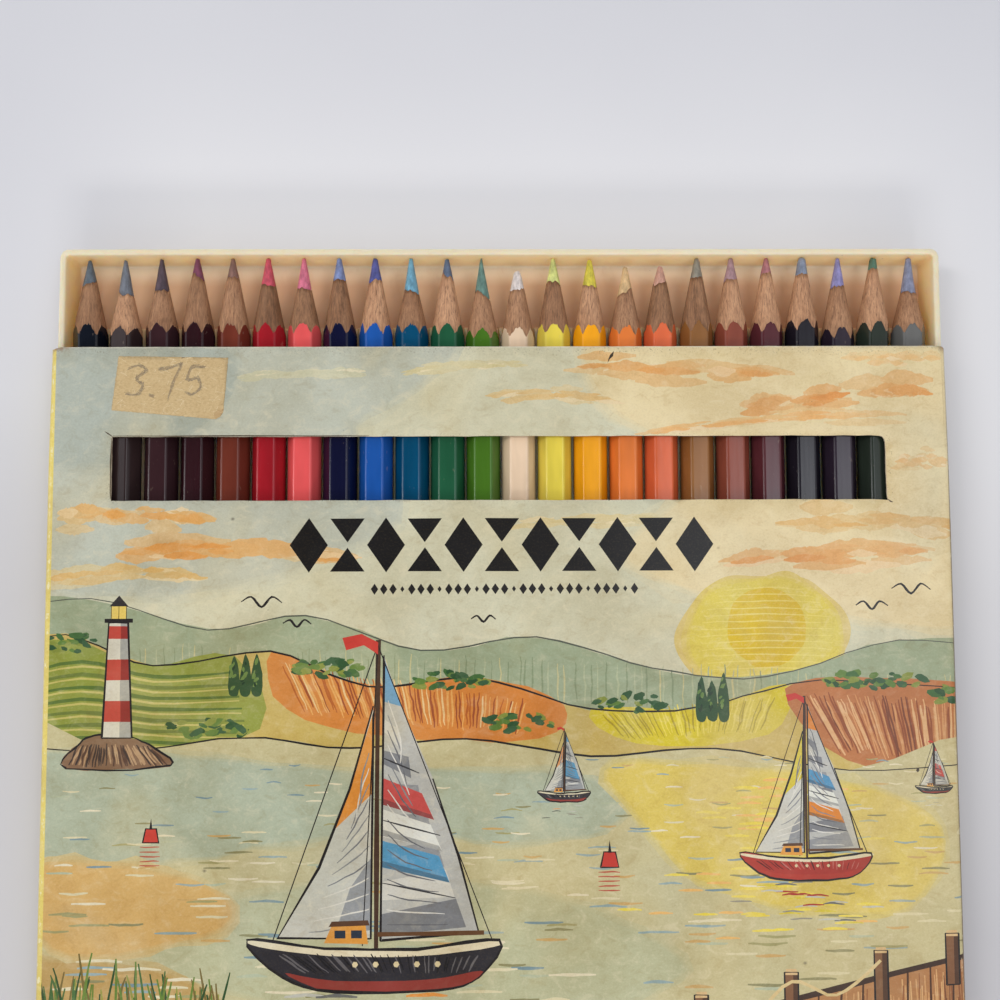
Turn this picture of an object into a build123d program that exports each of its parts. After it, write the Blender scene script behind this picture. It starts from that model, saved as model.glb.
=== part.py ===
from build123d import *
import math
import os

# A flat slide box of coloured pencils: a printed board sleeve with a window, a moulded
# tray that slides in it, and a row of sharpened hexagonal pencils lying in the tray.
# Frame in millimetres: +X to the right, +Y towards the pencil points, +Z up. The origin
# is the middle of the sleeve's underside.

# Pencils
pencil_count = 24
across_flats = 7.0
barrel_edge_radius = 0.8
pencil_length = 175.0
back_chamfer = 0.3
point_half_angle = 10.9
point_radius = 0.45
point_blunting = 0.3
worn_point_radius = 0.85
worn_pencils = (13, 16, 17)
lead_diameter = 3.2
lead_clearance = 0.02

# Round forms on the pencils are drawn in narrow flats, to keep the facets few
point_flat_count = 24
edge_flat_count = 2

# Tray
pencil_pitch = 8.3
pencil_side_gap = 0.1
pencil_front_gap = 0.2
pencil_back_gap = 2.8
tray_wall = 1.4
tray_floor = 1.2
tray_inner_depth = 8.6
tray_inner_draft = 3.0
tray_outer_draft = 1.5
tray_corner_radius = 2.2
tray_foot_chamfer = 0.4
tray_rim_round = 0.45

# Cradle: a raised bed in the tray's floor, with a rib between each two pencils
cradle_height = 1.2
cradle_end_bay = 15.0
rib_height = 2.5
rib_top_width = 0.7
rib_base_width = 1.6

# Sleeve
board = 0.6
fold_radius = 1.5
tray_side_clearance = 0.6
tray_top_clearance = 0.5
sleeve_end_lap = 0.5
glue_flap_height = 8.0

# Window in the sleeve's top panel
window_width = 176.8
window_height = 14.5
window_from_edge = 20.8
window_corner_radius = 1.0

# Paper price tape on the sleeve's top panel: its corners, one of them clipped, measured
# to the right of the sleeve's left side and back from its front edge
tape_corners = ((16.0, 2.2), (41.0, 2.6), (39.9, 15.1), (38.2, 16.7), (14.5, 14.6))
tape_thickness = 0.1

# How far the tray stands out of the sleeve in the drawn pose
tray_pulled_out = 23.2

# Worked out from the values above
apothem = across_flats / 2
lead_radius = lead_diameter / 2
cradle_top = board + tray_floor + cradle_height
tray_rim_z = board + tray_floor + tray_inner_depth
tray_inner_floor_width = pencil_count * pencil_pitch + 2 * pencil_side_gap
tray_inner_floor_length = pencil_length + pencil_front_gap + pencil_back_gap
inner_flare = tray_inner_depth * math.tan(math.radians(tray_inner_draft))
tray_rim_width = tray_inner_floor_width + 2 * (inner_flare + tray_wall)
tray_rim_length = tray_inner_floor_length + 2 * (inner_flare + tray_wall)
sleeve_inner_width = tray_rim_width + 2 * tray_side_clearance
sleeve_width = sleeve_inner_width + 3 * board
sleeve_inner_height = tray_rim_z - board + tray_top_clearance
sleeve_height = sleeve_inner_height + 2 * board
sleeve_length = tray_rim_length + 2 * sleeve_end_lap
sleeve_front_y = sleeve_length / 2
tray_x = board / 2
tray_rim_front_y = sleeve_front_y + tray_pulled_out
tray_y = tray_rim_front_y - tray_rim_length / 2
pencil_front_y = tray_y + tray_inner_floor_length / 2 - pencil_front_gap
pencil_back_y = pencil_front_y - pencil_length


def pencil_x(number):
    """The X of one pencil's axis, counted from the left."""
    return tray_x + (number - (pencil_count + 1) / 2) * pencil_pitch


def round_bar(radius, length):
    """A round bar drawn in flats, along +Y from the pencil's back end."""
    section = RegularPolygon(radius, point_flat_count, major_radius=False)
    return Rot(-90, 0, 0) * extrude(section, length)


def taper_bar(radius, length, end_radius):
    """The same, narrowing along its length to the end radius."""
    section = RegularPolygon(radius, point_flat_count, major_radius=False)
    taper = math.degrees(math.atan((radius - end_radius) / length))
    return Rot(-90, 0, 0) * extrude(section, length, taper=taper)


def point_envelope(number):
    """The solid that a sharpener leaves, wide enough to hold the whole barrel."""
    tip_radius = worn_point_radius if number in worn_pencils else point_radius
    slope = math.tan(math.radians(point_half_angle))
    apex_y = pencil_length - point_blunting + point_radius / slope
    shoulder_y = apex_y - tip_radius / slope
    cone_y = apex_y - across_flats / slope
    cone = Pos(0, cone_y, 0) * taper_bar(across_flats, shoulder_y - cone_y, tip_radius)
    tip = Pos(0, shoulder_y, 0) * taper_bar(tip_radius, point_blunting, 0.6 * tip_radius)
    return round_bar(across_flats, cone_y) + cone + tip


def barrel_section():
    """A hexagon with a flat side up, its corners rounded in narrow flats."""
    corner_distance = (apothem - barrel_edge_radius) / math.cos(math.pi / 6)
    outline = []
    for corner in range(6):
        middle = math.radians(60 * corner)
        for step in range(edge_flat_count + 1):
            turn = middle + math.radians(60 * step / edge_flat_count - 30)
            x = corner_distance * math.cos(middle) + barrel_edge_radius * math.cos(turn)
            y = corner_distance * math.sin(middle) + barrel_edge_radius * math.sin(turn)
            outline.append((x, y))
    return make_face(Polyline(*outline, close=True))


def barrel():
    """The hexagonal bar that a casing is sharpened from."""
    bar = extrude(Plane.XZ * barrel_section(), -pencil_length)
    return chamfer(bar.faces().sort_by(Axis.Y)[0].edges(), back_chamfer)


def placed(solid, number):
    """Moves a pencil's piece from the origin to its place in the cradle."""
    return Pos(pencil_x(number), pencil_back_y, cradle_top + apothem) * solid


def casing(number):
    """The painted wooden casing, sharpened, with the bore that holds the lead."""
    bore = round_bar(lead_radius + lead_clearance, 2 * pencil_length)
    bore = Pos(0, -pencil_length / 2, 0) * bore
    return placed((barrel() & point_envelope(number)) - bore, number)


def lead(number):
    """The coloured core, as long as the pencil, sharpened with its casing."""
    return placed(round_bar(lead_radius, pencil_length) & point_envelope(number), number)


def drafted_block(width, length, radius, low_z, height, draft):
    """A block with rounded corners that widens upwards, standing on low_z."""
    foot = Pos(0, 0, low_z) * RectangleRounded(width, length, radius)
    return extrude(foot, height, taper=-draft)


def rib():
    """One long rib of the cradle, tapered in section and sloped at both ends."""
    foot = Rectangle(rib_base_width, tray_inner_floor_length - 2 * cradle_end_bay)
    taper = math.degrees(math.atan((rib_base_width - rib_top_width) / 2 / rib_height))
    return extrude(foot, rib_height, taper=taper)


def cavity():
    """The inside of the tray: drafted walls over a foot that is chamfered all round."""
    foot_flare = tray_foot_chamfer * math.tan(math.radians(tray_inner_draft))
    width = tray_inner_floor_width + 2 * foot_flare
    length = tray_inner_floor_length + 2 * foot_flare
    radius = max(tray_corner_radius - tray_wall, 2 * tray_foot_chamfer)
    foot = drafted_block(
        width - 2 * tray_foot_chamfer,
        length - 2 * tray_foot_chamfer,
        radius - tray_foot_chamfer,
        board + tray_floor,
        tray_foot_chamfer,
        45,
    )
    walls = drafted_block(
        width,
        length,
        radius,
        board + tray_floor + tray_foot_chamfer,
        tray_inner_depth - tray_foot_chamfer,
        tray_inner_draft,
    )
    return foot + walls


def tray():
    """The moulded tray: drafted walls, a rounded rim, and a ribbed bed for the pencils."""
    height = tray_floor + tray_inner_depth
    outer_flare = height * math.tan(math.radians(tray_outer_draft))
    outer = drafted_block(
        tray_rim_width - 2 * outer_flare,
        tray_rim_length - 2 * outer_flare,
        tray_corner_radius,
        board,
        height,
        tray_outer_draft,
    )
    shell = outer - cavity()
    shell = fillet(shell.faces().sort_by(Axis.Z)[-1].edges(), tray_rim_round)
    bed_length = tray_inner_floor_length - 2 * cradle_end_bay
    bed = Pos(0, 0, board + tray_floor) * Box(
        tray_inner_floor_width + tray_wall,
        bed_length,
        cradle_height,
        align=(Align.CENTER, Align.CENTER, Align.MIN),
    )
    ribs = [
        Pos((place - pencil_count / 2) * pencil_pitch, 0, cradle_top) * rib()
        for place in range(1, pencil_count)
    ]
    return Pos(tray_x, tray_y, 0) * (shell + bed + ribs)


def folded_ring(low_x, high_x):
    """The section of a strip of board folded round on itself, standing on Z = 0."""
    middle = Pos((low_x + high_x) / 2, sleeve_height / 2)
    outside = RectangleRounded(high_x - low_x, sleeve_height, fold_radius)
    inside = RectangleRounded(
        high_x - low_x - 2 * board, sleeve_inner_height, fold_radius - board
    )
    return middle * (outside - inside)


def corner_zone(height):
    """A rectangle over the section's left side, from its underside up to a height."""
    align = (Align.MIN, Align.MIN)
    return Pos(-sleeve_width / 2, 0) * Rectangle(3 * fold_radius, height, align=align)


def sleeve_section():
    """The section across the sleeve: its left side is two boards thick, where the panel
    folded down from the top is glued over the flap folded up from the bottom."""
    half = sleeve_width / 2
    outer_wrap = folded_ring(-half, half) - corner_zone(fold_radius)
    inner_wrap = folded_ring(board - half, half)
    return outer_wrap + (inner_wrap & corner_zone(fold_radius + glue_flap_height))


def sleeve():
    """The folded board sleeve, open at both ends, with the window in its top panel."""
    tube = extrude(Plane.XZ * sleeve_section(), sleeve_length / 2, both=True)
    window_y = sleeve_front_y - window_from_edge - window_height / 2
    opening = Pos(0, window_y, sleeve_height / 2) * RectangleRounded(
        window_width, window_height, window_corner_radius
    )
    return tube - extrude(opening, sleeve_height)


def price_tape():
    """A strip of paper tape stuck flat on the sleeve's top panel."""
    outline = [(x - sleeve_width / 2, sleeve_front_y - y) for x, y in tape_corners]
    strip = make_face(Polyline(*outline, close=True))
    return extrude(Pos(0, 0, sleeve_height) * strip, tape_thickness)


os.makedirs("parts", exist_ok=True)
nodes = {"sleeve": sleeve(), "tray": tray(), "price_tape": price_tape()}
for number in range(1, pencil_count + 1):
    nodes[f"pencil_{number:02d}_casing"] = casing(number)
    nodes[f"pencil_{number:02d}_lead"] = lead(number)
for name, solid in nodes.items():
    export_step(solid, f"parts/{name}.step")
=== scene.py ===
import math
import random

import bmesh
import bpy
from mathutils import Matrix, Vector, noise
from mathutils.geometry import delaunay_2d_cdt


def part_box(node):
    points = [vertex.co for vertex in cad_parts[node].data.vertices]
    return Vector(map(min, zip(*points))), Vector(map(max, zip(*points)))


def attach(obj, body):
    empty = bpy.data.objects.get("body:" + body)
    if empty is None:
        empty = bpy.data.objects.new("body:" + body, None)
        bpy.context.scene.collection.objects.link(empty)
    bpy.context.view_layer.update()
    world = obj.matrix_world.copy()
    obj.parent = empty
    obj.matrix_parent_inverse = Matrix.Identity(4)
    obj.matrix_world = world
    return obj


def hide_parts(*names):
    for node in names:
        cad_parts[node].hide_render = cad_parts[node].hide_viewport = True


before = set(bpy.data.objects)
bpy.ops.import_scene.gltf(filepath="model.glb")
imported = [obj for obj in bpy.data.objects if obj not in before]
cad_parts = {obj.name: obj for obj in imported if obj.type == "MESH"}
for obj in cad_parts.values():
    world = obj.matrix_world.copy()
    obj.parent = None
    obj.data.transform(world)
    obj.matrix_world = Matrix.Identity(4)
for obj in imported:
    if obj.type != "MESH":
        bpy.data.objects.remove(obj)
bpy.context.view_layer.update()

MM = 0.001

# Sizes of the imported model, in millimetres
SLEEVE_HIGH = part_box("sleeve")[1] / MM
TRAY_LOW, TRAY_HIGH = [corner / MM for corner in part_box("tray")]
HALF = SLEEVE_HIGH.x
HEIGHT = SLEEVE_HIGH.z
FRONT = SLEEVE_HIGH.y
TRAY_X = (TRAY_LOW.x + TRAY_HIGH.x) / 2
TRAY_Y = (TRAY_LOW.y + TRAY_HIGH.y) / 2
TRAY_HALF_X = (TRAY_HIGH.x - TRAY_LOW.x) / 2
TRAY_HALF_Y = (TRAY_HIGH.y - TRAY_LOW.y) / 2

# Sizes that the frame doesn't hold, as in the model's source
BOARD = 0.6
FOLD = 1.5
GLUE_FLAP = 8.0
TRAY_FLOOR = 1.2
BED_HEIGHT = 1.2
PENCIL_PITCH = 8.3
PENCIL_BACK = -62.45
APOTHEM = 3.5
BARREL_EDGE = 0.8
AXIS_Z = TRAY_LOW.z + TRAY_FLOOR + BED_HEIGHT + APOTHEM


def srgb(r, g, b):
    """Linear colour from 0-255 values as a screen shows them."""
    shares = [v / 255 for v in (r, g, b)]
    return (*[c / 12.92 if c <= 0.04045 else ((c + 0.055) / 1.055) ** 2.4 for c in shares], 1.0)


def toned(colour, factor, lift=0.0):
    """A darker or paler colour."""
    return tuple(min(255, c * factor + lift) for c in colour)


# Shader helpers
def join(value, socket):
    """Feeds a socket from a node, or sets it to a number, a vector or a 0-255 colour."""
    if isinstance(value, Value):
        socket.id_data.links.new(value.socket, socket)
    elif isinstance(value, tuple) and socket.type == "RGBA":
        socket.default_value = srgb(*value)
    elif value is not None:
        socket.default_value = value


def step(operation, swapped=False):
    """A method of Value that adds a node for one step of a sum."""

    def method(first, second=None):
        node = first.socket.id_data.nodes.new("ShaderNodeMath")
        node.operation = operation
        for value, socket in zip((second, first) if swapped else (first, second), node.inputs):
            join(value, socket)
        return Value(node.outputs[0])

    return method


class Value:
    """A node's output. Written in a sum, it adds a node for each step of the sum."""

    __add__ = step("ADD")
    __sub__ = step("SUBTRACT")
    __rsub__ = step("SUBTRACT", swapped=True)
    __mul__ = step("MULTIPLY")
    __truediv__ = step("DIVIDE")
    __pow__ = step("POWER")
    __abs__ = step("ABSOLUTE")
    root = step("SQRT")
    at_least = step("MAXIMUM")

    def __init__(self, socket):
        self.socket = socket

    def clamped(self):
        """The same, kept between 0 and 1."""
        self.socket.node.use_clamp = True
        return self


def far_off(x, y):
    """The distance of a place from 0, 0."""
    return (x * x + y * y).root()


class Nodes:
    """The nodes of a material or the world, and a short way to add and join them."""

    def __init__(self, owner, shader="Principled BSDF", coordinates="Object"):
        owner.use_nodes = True
        self.owner = owner
        self.tree = owner.node_tree
        self.shader = self.tree.nodes[shader]
        self.coord = self.add("TexCoord", {}, coordinates)
        self.base = None

    def add(self, kind, inputs, output=0, **settings):
        """A new node with its settings and inputs; gives one of its outputs."""
        node = self.tree.nodes.new("ShaderNode" + kind)
        for name, value in settings.items():
            setattr(node, name, value)
        for name, value in inputs.items():
            join(value, node.inputs[name])
        return Value(node.outputs[output])

    def scaled(self, x, y, z):
        """Coordinates in millimetres, stretched by the three factors."""
        return self.add("Mapping", {"Vector": self.coord, "Scale": (x / MM, y / MM, z / MM)})

    def axes(self, vector=None):
        """X, Y and Z of a vector, or of the place in millimetres."""
        split = self.add("SeparateXYZ", {0: vector or self.scaled(1, 1, 1)})
        return [Value(socket) for socket in split.socket.node.outputs]

    def noise(self, stretch, scale, detail, rough=0.5, distortion=0.0):
        inputs = {"Vector": self.scaled(*stretch), "Scale": scale, "Detail": detail}
        inputs.update({"Roughness": rough, "Distortion": distortion})
        return self.add("TexNoise", inputs, "Fac")

    def ramp(self, value, *stops):
        """Maps a value through two stops: a place, and a grey level or a linear colour."""
        ramp = self.add("ValToRGB", {"Fac": value}, "Color")
        for element, (place, level) in zip(ramp.socket.node.color_ramp.elements, stops):
            element.position = place
            element.color = level if isinstance(level, tuple) else (level, level, level, 1)
        return ramp

    def specks(self, stretch, scale, radius):
        """Scattered dots, 1 at their middles."""
        cells = self.add("TexVoronoi", {"Vector": self.scaled(*stretch), "Scale": scale}, "Distance")
        return self.ramp(cells, (0.0, 1.0), (radius, 0.0))

    def mix(self, amount, a, b, blend="MIX"):
        inputs = {"Factor": amount, "A": a, "B": b}
        return self.add("Mix", inputs, "Result", data_type="RGBA", blend_type=blend)

    def lay(self, amount, colour, blend="MIX"):
        """Lays a colour over the base colour."""
        self.base = self.mix(amount, self.base, colour, blend)

    def bump(self, height, strength, depth):
        """Fine relief, up to a depth in millimetres."""
        inputs = {"Height": height, "Strength": strength, "Distance": depth * MM}
        self.set(Normal=self.add("Bump", inputs))

    def set(self, **values):
        """Sets the shader's inputs."""
        for name, value in values.items():
            join(value, self.shader.inputs[name.replace("_", " ")])

    def finished(self, **values):
        """The material, with its base colour laid on and its other inputs set."""
        self.set(Base_Color=self.base, **values)
        return self.owner


def material(name):
    return Nodes(bpy.data.materials.new(name))


# Mesh helpers
def new_mesh(name, verts, faces):
    """A smooth mesh from points in millimetres, in the scene."""
    mesh = bpy.data.meshes.new(name)
    mesh.from_pydata([Vector(v) * MM for v in verts], [], faces)
    mesh.validate()
    mesh.polygons.foreach_set("use_smooth", [True] * len(mesh.polygons))
    obj = bpy.data.objects.new(name, mesh)
    bpy.context.scene.collection.objects.link(obj)
    return obj


def assign(obj, body, node, slot_name, *looks):
    """Gives a piece its materials and its body, and hides the imported part that it stands for; slot_name is
    not used.
    """
    for look in looks:
        obj.data.materials.append(look)
    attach(obj, body)
    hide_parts(node)


def divided(a, b, pitch):
    """Points from a to b, b left out, about a pitch apart."""
    count = max(1, round(math.dist(a, b) / pitch))
    shares = [i / count for i in range(count)]
    return [(a[0] + (b[0] - a[0]) * t, a[1] + (b[1] - a[1]) * t) for t in shares]


def between(low, high, count):
    """Faces between two rings of points, from where each starts in the list of points."""
    pairs = [(j, (j + 1) % count) for j in range(count)]
    return [(low + j, low + k, high + k, high + j) for j, k in pairs]


def solid_faces(rings, start=0):
    """Faces of a solid through rings of points that are listed in turn, with closed ends."""
    count = len(rings[0])
    last = start + (len(rings) - 1) * count
    faces = []
    for low in range(start, last, count):
        faces += between(low, low + count, count)
    return faces + [tuple(reversed(range(start, start + count))), tuple(range(last, last + count))]


def joined(rings):
    return [point for ring in rings for point in ring]


def edit_faces(obj, change):
    """Runs a change on the mesh's faces."""
    bm = bmesh.new()
    bm.from_mesh(obj.data)
    change(bm)
    bm.to_mesh(obj.data)
    bm.free()


def fix_normals(obj):
    edit_faces(obj, lambda bm: bmesh.ops.recalc_face_normals(bm, faces=bm.faces))


def face_outwards(obj, outward):
    """Turns the faces of a sheet to the side that a function of their middle gives."""

    def change(bm):
        for face in bm.faces:
            if face.normal.dot(outward(face.calc_center_median() / MM)) < 0:
                face.normal_flip()

    edit_faces(obj, change)


# Camera: held over the box, a little towards its front edge
camera = bpy.data.objects.new("camera", bpy.data.cameras.new("camera"))
camera.data.sensor_width = 36
camera.data.lens = 36
camera.data.clip_start = 0.01
camera.location = (-0.0022948, 0.04231, 0.23834)
camera.rotation_euler = (0.06034, -0.00914, -0.00353)
bpy.context.scene.collection.objects.link(camera)
bpy.context.scene.camera = camera

# World: a soft sky, dimmer to the right and dark in two patches nearly straight above.
# The camera and reflections see a pale backdrop near the horizon instead
world = bpy.data.worlds.new("world")
dome = Nodes(world, "Background", "Generated")
dome_x, dome_y, dome_z = dome.axes(dome.coord)


def dome_patch(low_x, high_x, low_y, high_y):
    """1 in a patch of the sky, in slopes from straight up, with soft sides."""
    soft = 0.08
    up = dome_z.at_least(0.05)
    sides = []
    for axis, low, high in ((dome_x, low_x, high_x), (dome_y, low_y, high_y)):
        off = abs(axis / up - (low + high) / 2)
        sides.append((((high - low) / 2 + soft / 2 - off) / soft).clamped())
    return sides[0] * sides[1]


dark = dome_patch(-0.48, 0.15, -0.75, 0.5).at_least(dome_patch(0.1, 0.58, 0.135, 0.5))
dim = (dome_x - 0.3).at_least(0.0) * 0.6
dome.set(
    Color=dome.ramp(dome_z, (0.0, (0.32, 0.32, 0.34, 1)), (0.45, (0.95, 0.96, 1.0, 1))),
    Strength=(1.0 - dark * 0.95) * 0.83 * (1.0 - dim).clamped(),
)
haze = dome.ramp(dome_z, (0.0, (0.41, 0.42, 0.455, 1)), (0.16, (0.66, 0.67, 0.71, 1)))
backdrop = dome.add("Background", {"Color": haze})
seen = dome.add("LightPath", {}, "Is Camera Ray")
for ray in ("Is Glossy Ray", "Is Transmission Ray"):
    seen = seen.at_least(dome.add("LightPath", {}, ray))
level = ((0.35 - dome_z) / 0.15).clamped()
choice = dome.add("MixShader", {0: seen * level, 1: Value(dome.shader.outputs[0]), 2: backdrop})
join(choice, dome.tree.nodes["World Output"].inputs["Surface"])
bpy.context.scene.world = world
bpy.context.scene.view_settings.view_transform = "Standard"


def area_light(name, place, target, width, depth, power, colour):
    data = bpy.data.lights.new(name, "AREA")
    data.shape = "RECTANGLE"
    data.size = width
    data.size_y = depth
    data.energy = power
    data.color = colour
    lamp = bpy.data.objects.new(name, data)
    lamp.location = place
    lamp.rotation_euler = (Vector(target) - Vector(place)).to_track_quat("-Z", "Y").to_euler()
    bpy.context.scene.collection.objects.link(lamp)
    return lamp


# Lights: a key from the left, a wide panel nearly overhead, a lower light from behind the
# box, a small panel overhead to the right, and a low strip on the left for gloss alone
key = area_light("key", (-0.85, 0.28, 1.0), (0, 0.02, 0), 0.2, 0.45, 3.0, (1.0, 0.96, 0.91))
key.visible_glossy = False
window = area_light("window", (-0.05, 0.28, 1.1), (0, 0.02, 0), 0.9, 0.2, 1.4, (1.0, 0.98, 0.96))
window.visible_glossy = False
area_light("room", (0.0, -1.15, 0.66), (0, 0.1, 0), 0.8, 0.2, 5.0, (1.0, 0.97, 0.93))
area_light("overhead", (0.38, -0.01, 1.0), (0.04, 0.05, 0), 0.4, 0.3, 0.85, (0.92, 0.95, 1.0))
strip = area_light("strip", (-1.25, 0.12, 0.55), (0, 0.06, 0), 0.06, 0.7, 0.9, (1.0, 0.99, 0.97))
strip.visible_diffuse = False


def floor_material():
    """Pale paper, with painted light ahead of the tray and to its right, and painted shade beside the sleeve,
    deepening towards the bottom.
    """
    m = material("floor_paper")
    x, y, _ = m.axes()
    # Painted light: paler ahead of the tray and to the right of the box
    ahead = 1.0 - far_off((abs(x) - 70.0).at_least(0.0), y - 122.0) / 80.0
    right = 1.0 - far_off(x - 125.0, (y - 70.0) * 0.6) / 70.0
    painted_light = (ahead.clamped() ** 2.0 + right.clamped() * 0.7).clamped()
    # Painted shade: darker beside the sleeve, deepening towards the bottom
    near = ((84.0 - y) / 50.0).clamped()
    m.base = m.mix(m.noise((1, 1, 1), 0.02, 2), (212, 213, 219), (218, 219, 224))
    m.lay(near * 0.6, (197, 195, 197))
    m.lay(painted_light * 0.95, (237, 237, 239))
    return m.finished(Roughness=0.85, Specular_IOR_Level=0.2)


FLOOR_REACH = 3000
low, high = -FLOOR_REACH, FLOOR_REACH
corners = ((low, low), (high, low), (high, high), (low, high))
floor = new_mesh("floor", [(x, y, -0.05) for x, y in corners], [(0, 1, 2, 3)])
floor.data.materials.append(floor_material())

# Pencils: name, paint colour, lead colour, tip y, lead base y, scallop peak y, lead slant,
# tip radius, roll in degrees, sideways shift at the tip, how pale the wood is
PENCILS = {
    1: ("blue_black", (15, 20, 30), (90, 100, 110), 112.2, 106.6, 97.0, -0.8, 0.42, 10, -0.35, -2.6),
    2: ("dark_brown", (46, 33, 33), (110, 115, 125), 112.2, 104.3, 96.2, 0.3, 0.45, -7, -0.3, 0.7),
    3: ("maroon_brown", (50, 28, 32), (80, 65, 75), 112.5, 105.2, 97.0, 0.1, 0.45, 1, -0.3, -1.3),
    4: ("plum", (41, 14, 20), (120, 60, 85), 112.7, 108.7, 97.2, 0.9, 0.5, -2, -0.25, -2.3),
    5: ("red_brown", (104, 45, 32), (130, 95, 85), 112.7, 108.3, 97.0, -0.2, 0.5, 0, -0.3, -0.7),
    6: ("red", (150, 22, 33), (206, 80, 98), 112.8, 106.4, 97.0, 0.3, 0.58, -1, -0.35, -4.7),
    7: ("coral", (215, 82, 82), (215, 115, 140), 112.8, 105.4, 97.0, 0.0, 0.5, 1, -0.25, -2.7),
    8: ("navy", (12, 14, 44), (120, 135, 180), 112.75, 107.8, 97.0, 0.0, 0.6, 2, -0.3, -3.2),
    9: ("blue", (25, 80, 158), (80, 85, 150), 112.75, 107.5, 97.0, -0.2, 0.6, -1, -0.2, 1.7),
    10: ("teal_blue", (0, 67, 100), (110, 165, 190), 112.7, 104.9, 96.9, 0.3, 0.5, 0, -0.25, -2.1),
    11: ("green", (30, 85, 57), (90, 105, 130), 112.5, 108.5, 96.9, 0.8, 0.5, 1, -0.1, 1.4),
    12: ("leaf_green", (65, 106, 28), (100, 135, 125), 112.8, 104.2, 95.6, 1.3, 0.22, 0, -0.35, -1.5),
    13: ("flesh", (217, 191, 162), (225, 215, 210), 109.6, 105.4, 96.0, -0.4, 0.85, 0, -0.2, -1.0),
    14: ("lemon_yellow", (217, 197, 74), (210, 215, 130), 112.6, 107.0, 96.9, 0.2, 0.48, -1, -0.1, -2.8),
    15: ("orange_yellow", (230, 155, 18), (215, 200, 70), 112.2, 106.2, 96.9, 0.5, 0.6, 1, 0.05, 0.9),
    16: ("orange", (213, 115, 50), (215, 180, 130), 110.6, 104.7, 96.4, -0.9, 0.6, 0, 0.15, -1.7),
    17: ("vermilion", (206, 96, 56), (205, 155, 135), 110.8, 106.8, 96.9, -0.2, 0.55, 1, 0.1, -2.7),
    18: ("ochre", (133, 88, 45), (140, 134, 120), 112.7, 108.2, 97.3, -0.3, 0.6, 0, 0.35, -3.4),
    19: ("rust", (132, 66, 50), (165, 130, 135), 112.7, 107.7, 97.4, -0.3, 0.55, -1, 0.0, 1.2),
    20: ("wine", (77, 33, 39), (170, 110, 115), 112.6, 109.3, 97.2, -0.4, 0.55, 2, 0.1, 1.1),
    21: ("black", (24, 22, 30), (130, 140, 160), 112.7, 108.9, 97.8, -0.2, 0.95, -2, 0.25, 0.8),
    22: ("dark_violet", (38, 28, 40), (140, 135, 185), 112.6, 106.0, 95.9, -0.2, 0.48, -1, 0.35, -1.3),
    23: ("dark_green", (35, 43, 35), (85, 120, 100), 112.8, 110.3, 97.3, -0.3, 0.85, 4, 0.45, 0.8),
    24: ("grey", (100, 100, 98), (135, 140, 165), 112.8, 104.6, 96.8, 0.5, 0.62, -4, 0.35, -1.3),
}

# Sharpening: the radius lost for each millimetre, how far the paint stands over the wood,
# the rings from the paint's edge to the lead, and how far forward a tip may reach
SHARPENING = 0.187
PAINT_STEP = 0.07
WOOD_RINGS = 9
TIP_LIMIT = 113.0

# The bore: narrower than the lead's base by BORE_INSET, or than WIDEST_LEAD where the base
# is wider, and round the lead with a little play
WIDEST_LEAD = 1.6
BORE_INSET = 0.15
LEAD_PLAY = 0.03

# The hexagon: where its rounded edges are centred, and half the angle of a flat side
EDGE_CENTRE = (APOTHEM - BARREL_EDGE) / math.cos(math.pi / 6)
FLAT_ANGLE = math.atan2(EDGE_CENTRE / 2, APOTHEM)

# Rings of the painted barrel from its back end: their place and how far they are cut in
BARREL = [(PENCIL_BACK, 0.55), (PENCIL_BACK + 0.08, 0.25), (PENCIL_BACK + 0.3, 0.06)]
BARREL += [(y, 0.0) for y in (PENCIL_BACK + 0.6, -40, -10, 20, 50, 75, 90)]


def hexagon_radius(angle):
    """Distance from the axis to the rounded hexagon, flat side at angle 0."""
    a = abs((angle + math.pi / 6) % (math.pi / 3) - math.pi / 6)
    if a <= FLAT_ANGLE:
        return APOTHEM / math.cos(a)
    b = math.pi / 6 - a
    return EDGE_CENTRE * math.cos(b) + math.sqrt(BARREL_EDGE**2 - (EDGE_CENTRE * math.sin(b)) ** 2)


def column_angles():
    """Angles round a pencil: close together at the barrel's six rounded edges."""
    flat = math.degrees(FLAT_ANGLE)
    half = [3.5, 7, 11, 16, flat - 0.7, flat]
    steps = [-a for a in reversed(half)] + [0] + half
    steps += [flat + (30 - flat) * t for t in (0.33, 0.66)]
    steps += [30 + (30 - flat) * t for t in (0, 0.33, 0.66)]
    return [math.radians(60 * k + s) for k in range(6) for s in steps]


ANGLES = column_angles()
LEAD_ANGLES = ANGLES[::2]


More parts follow.
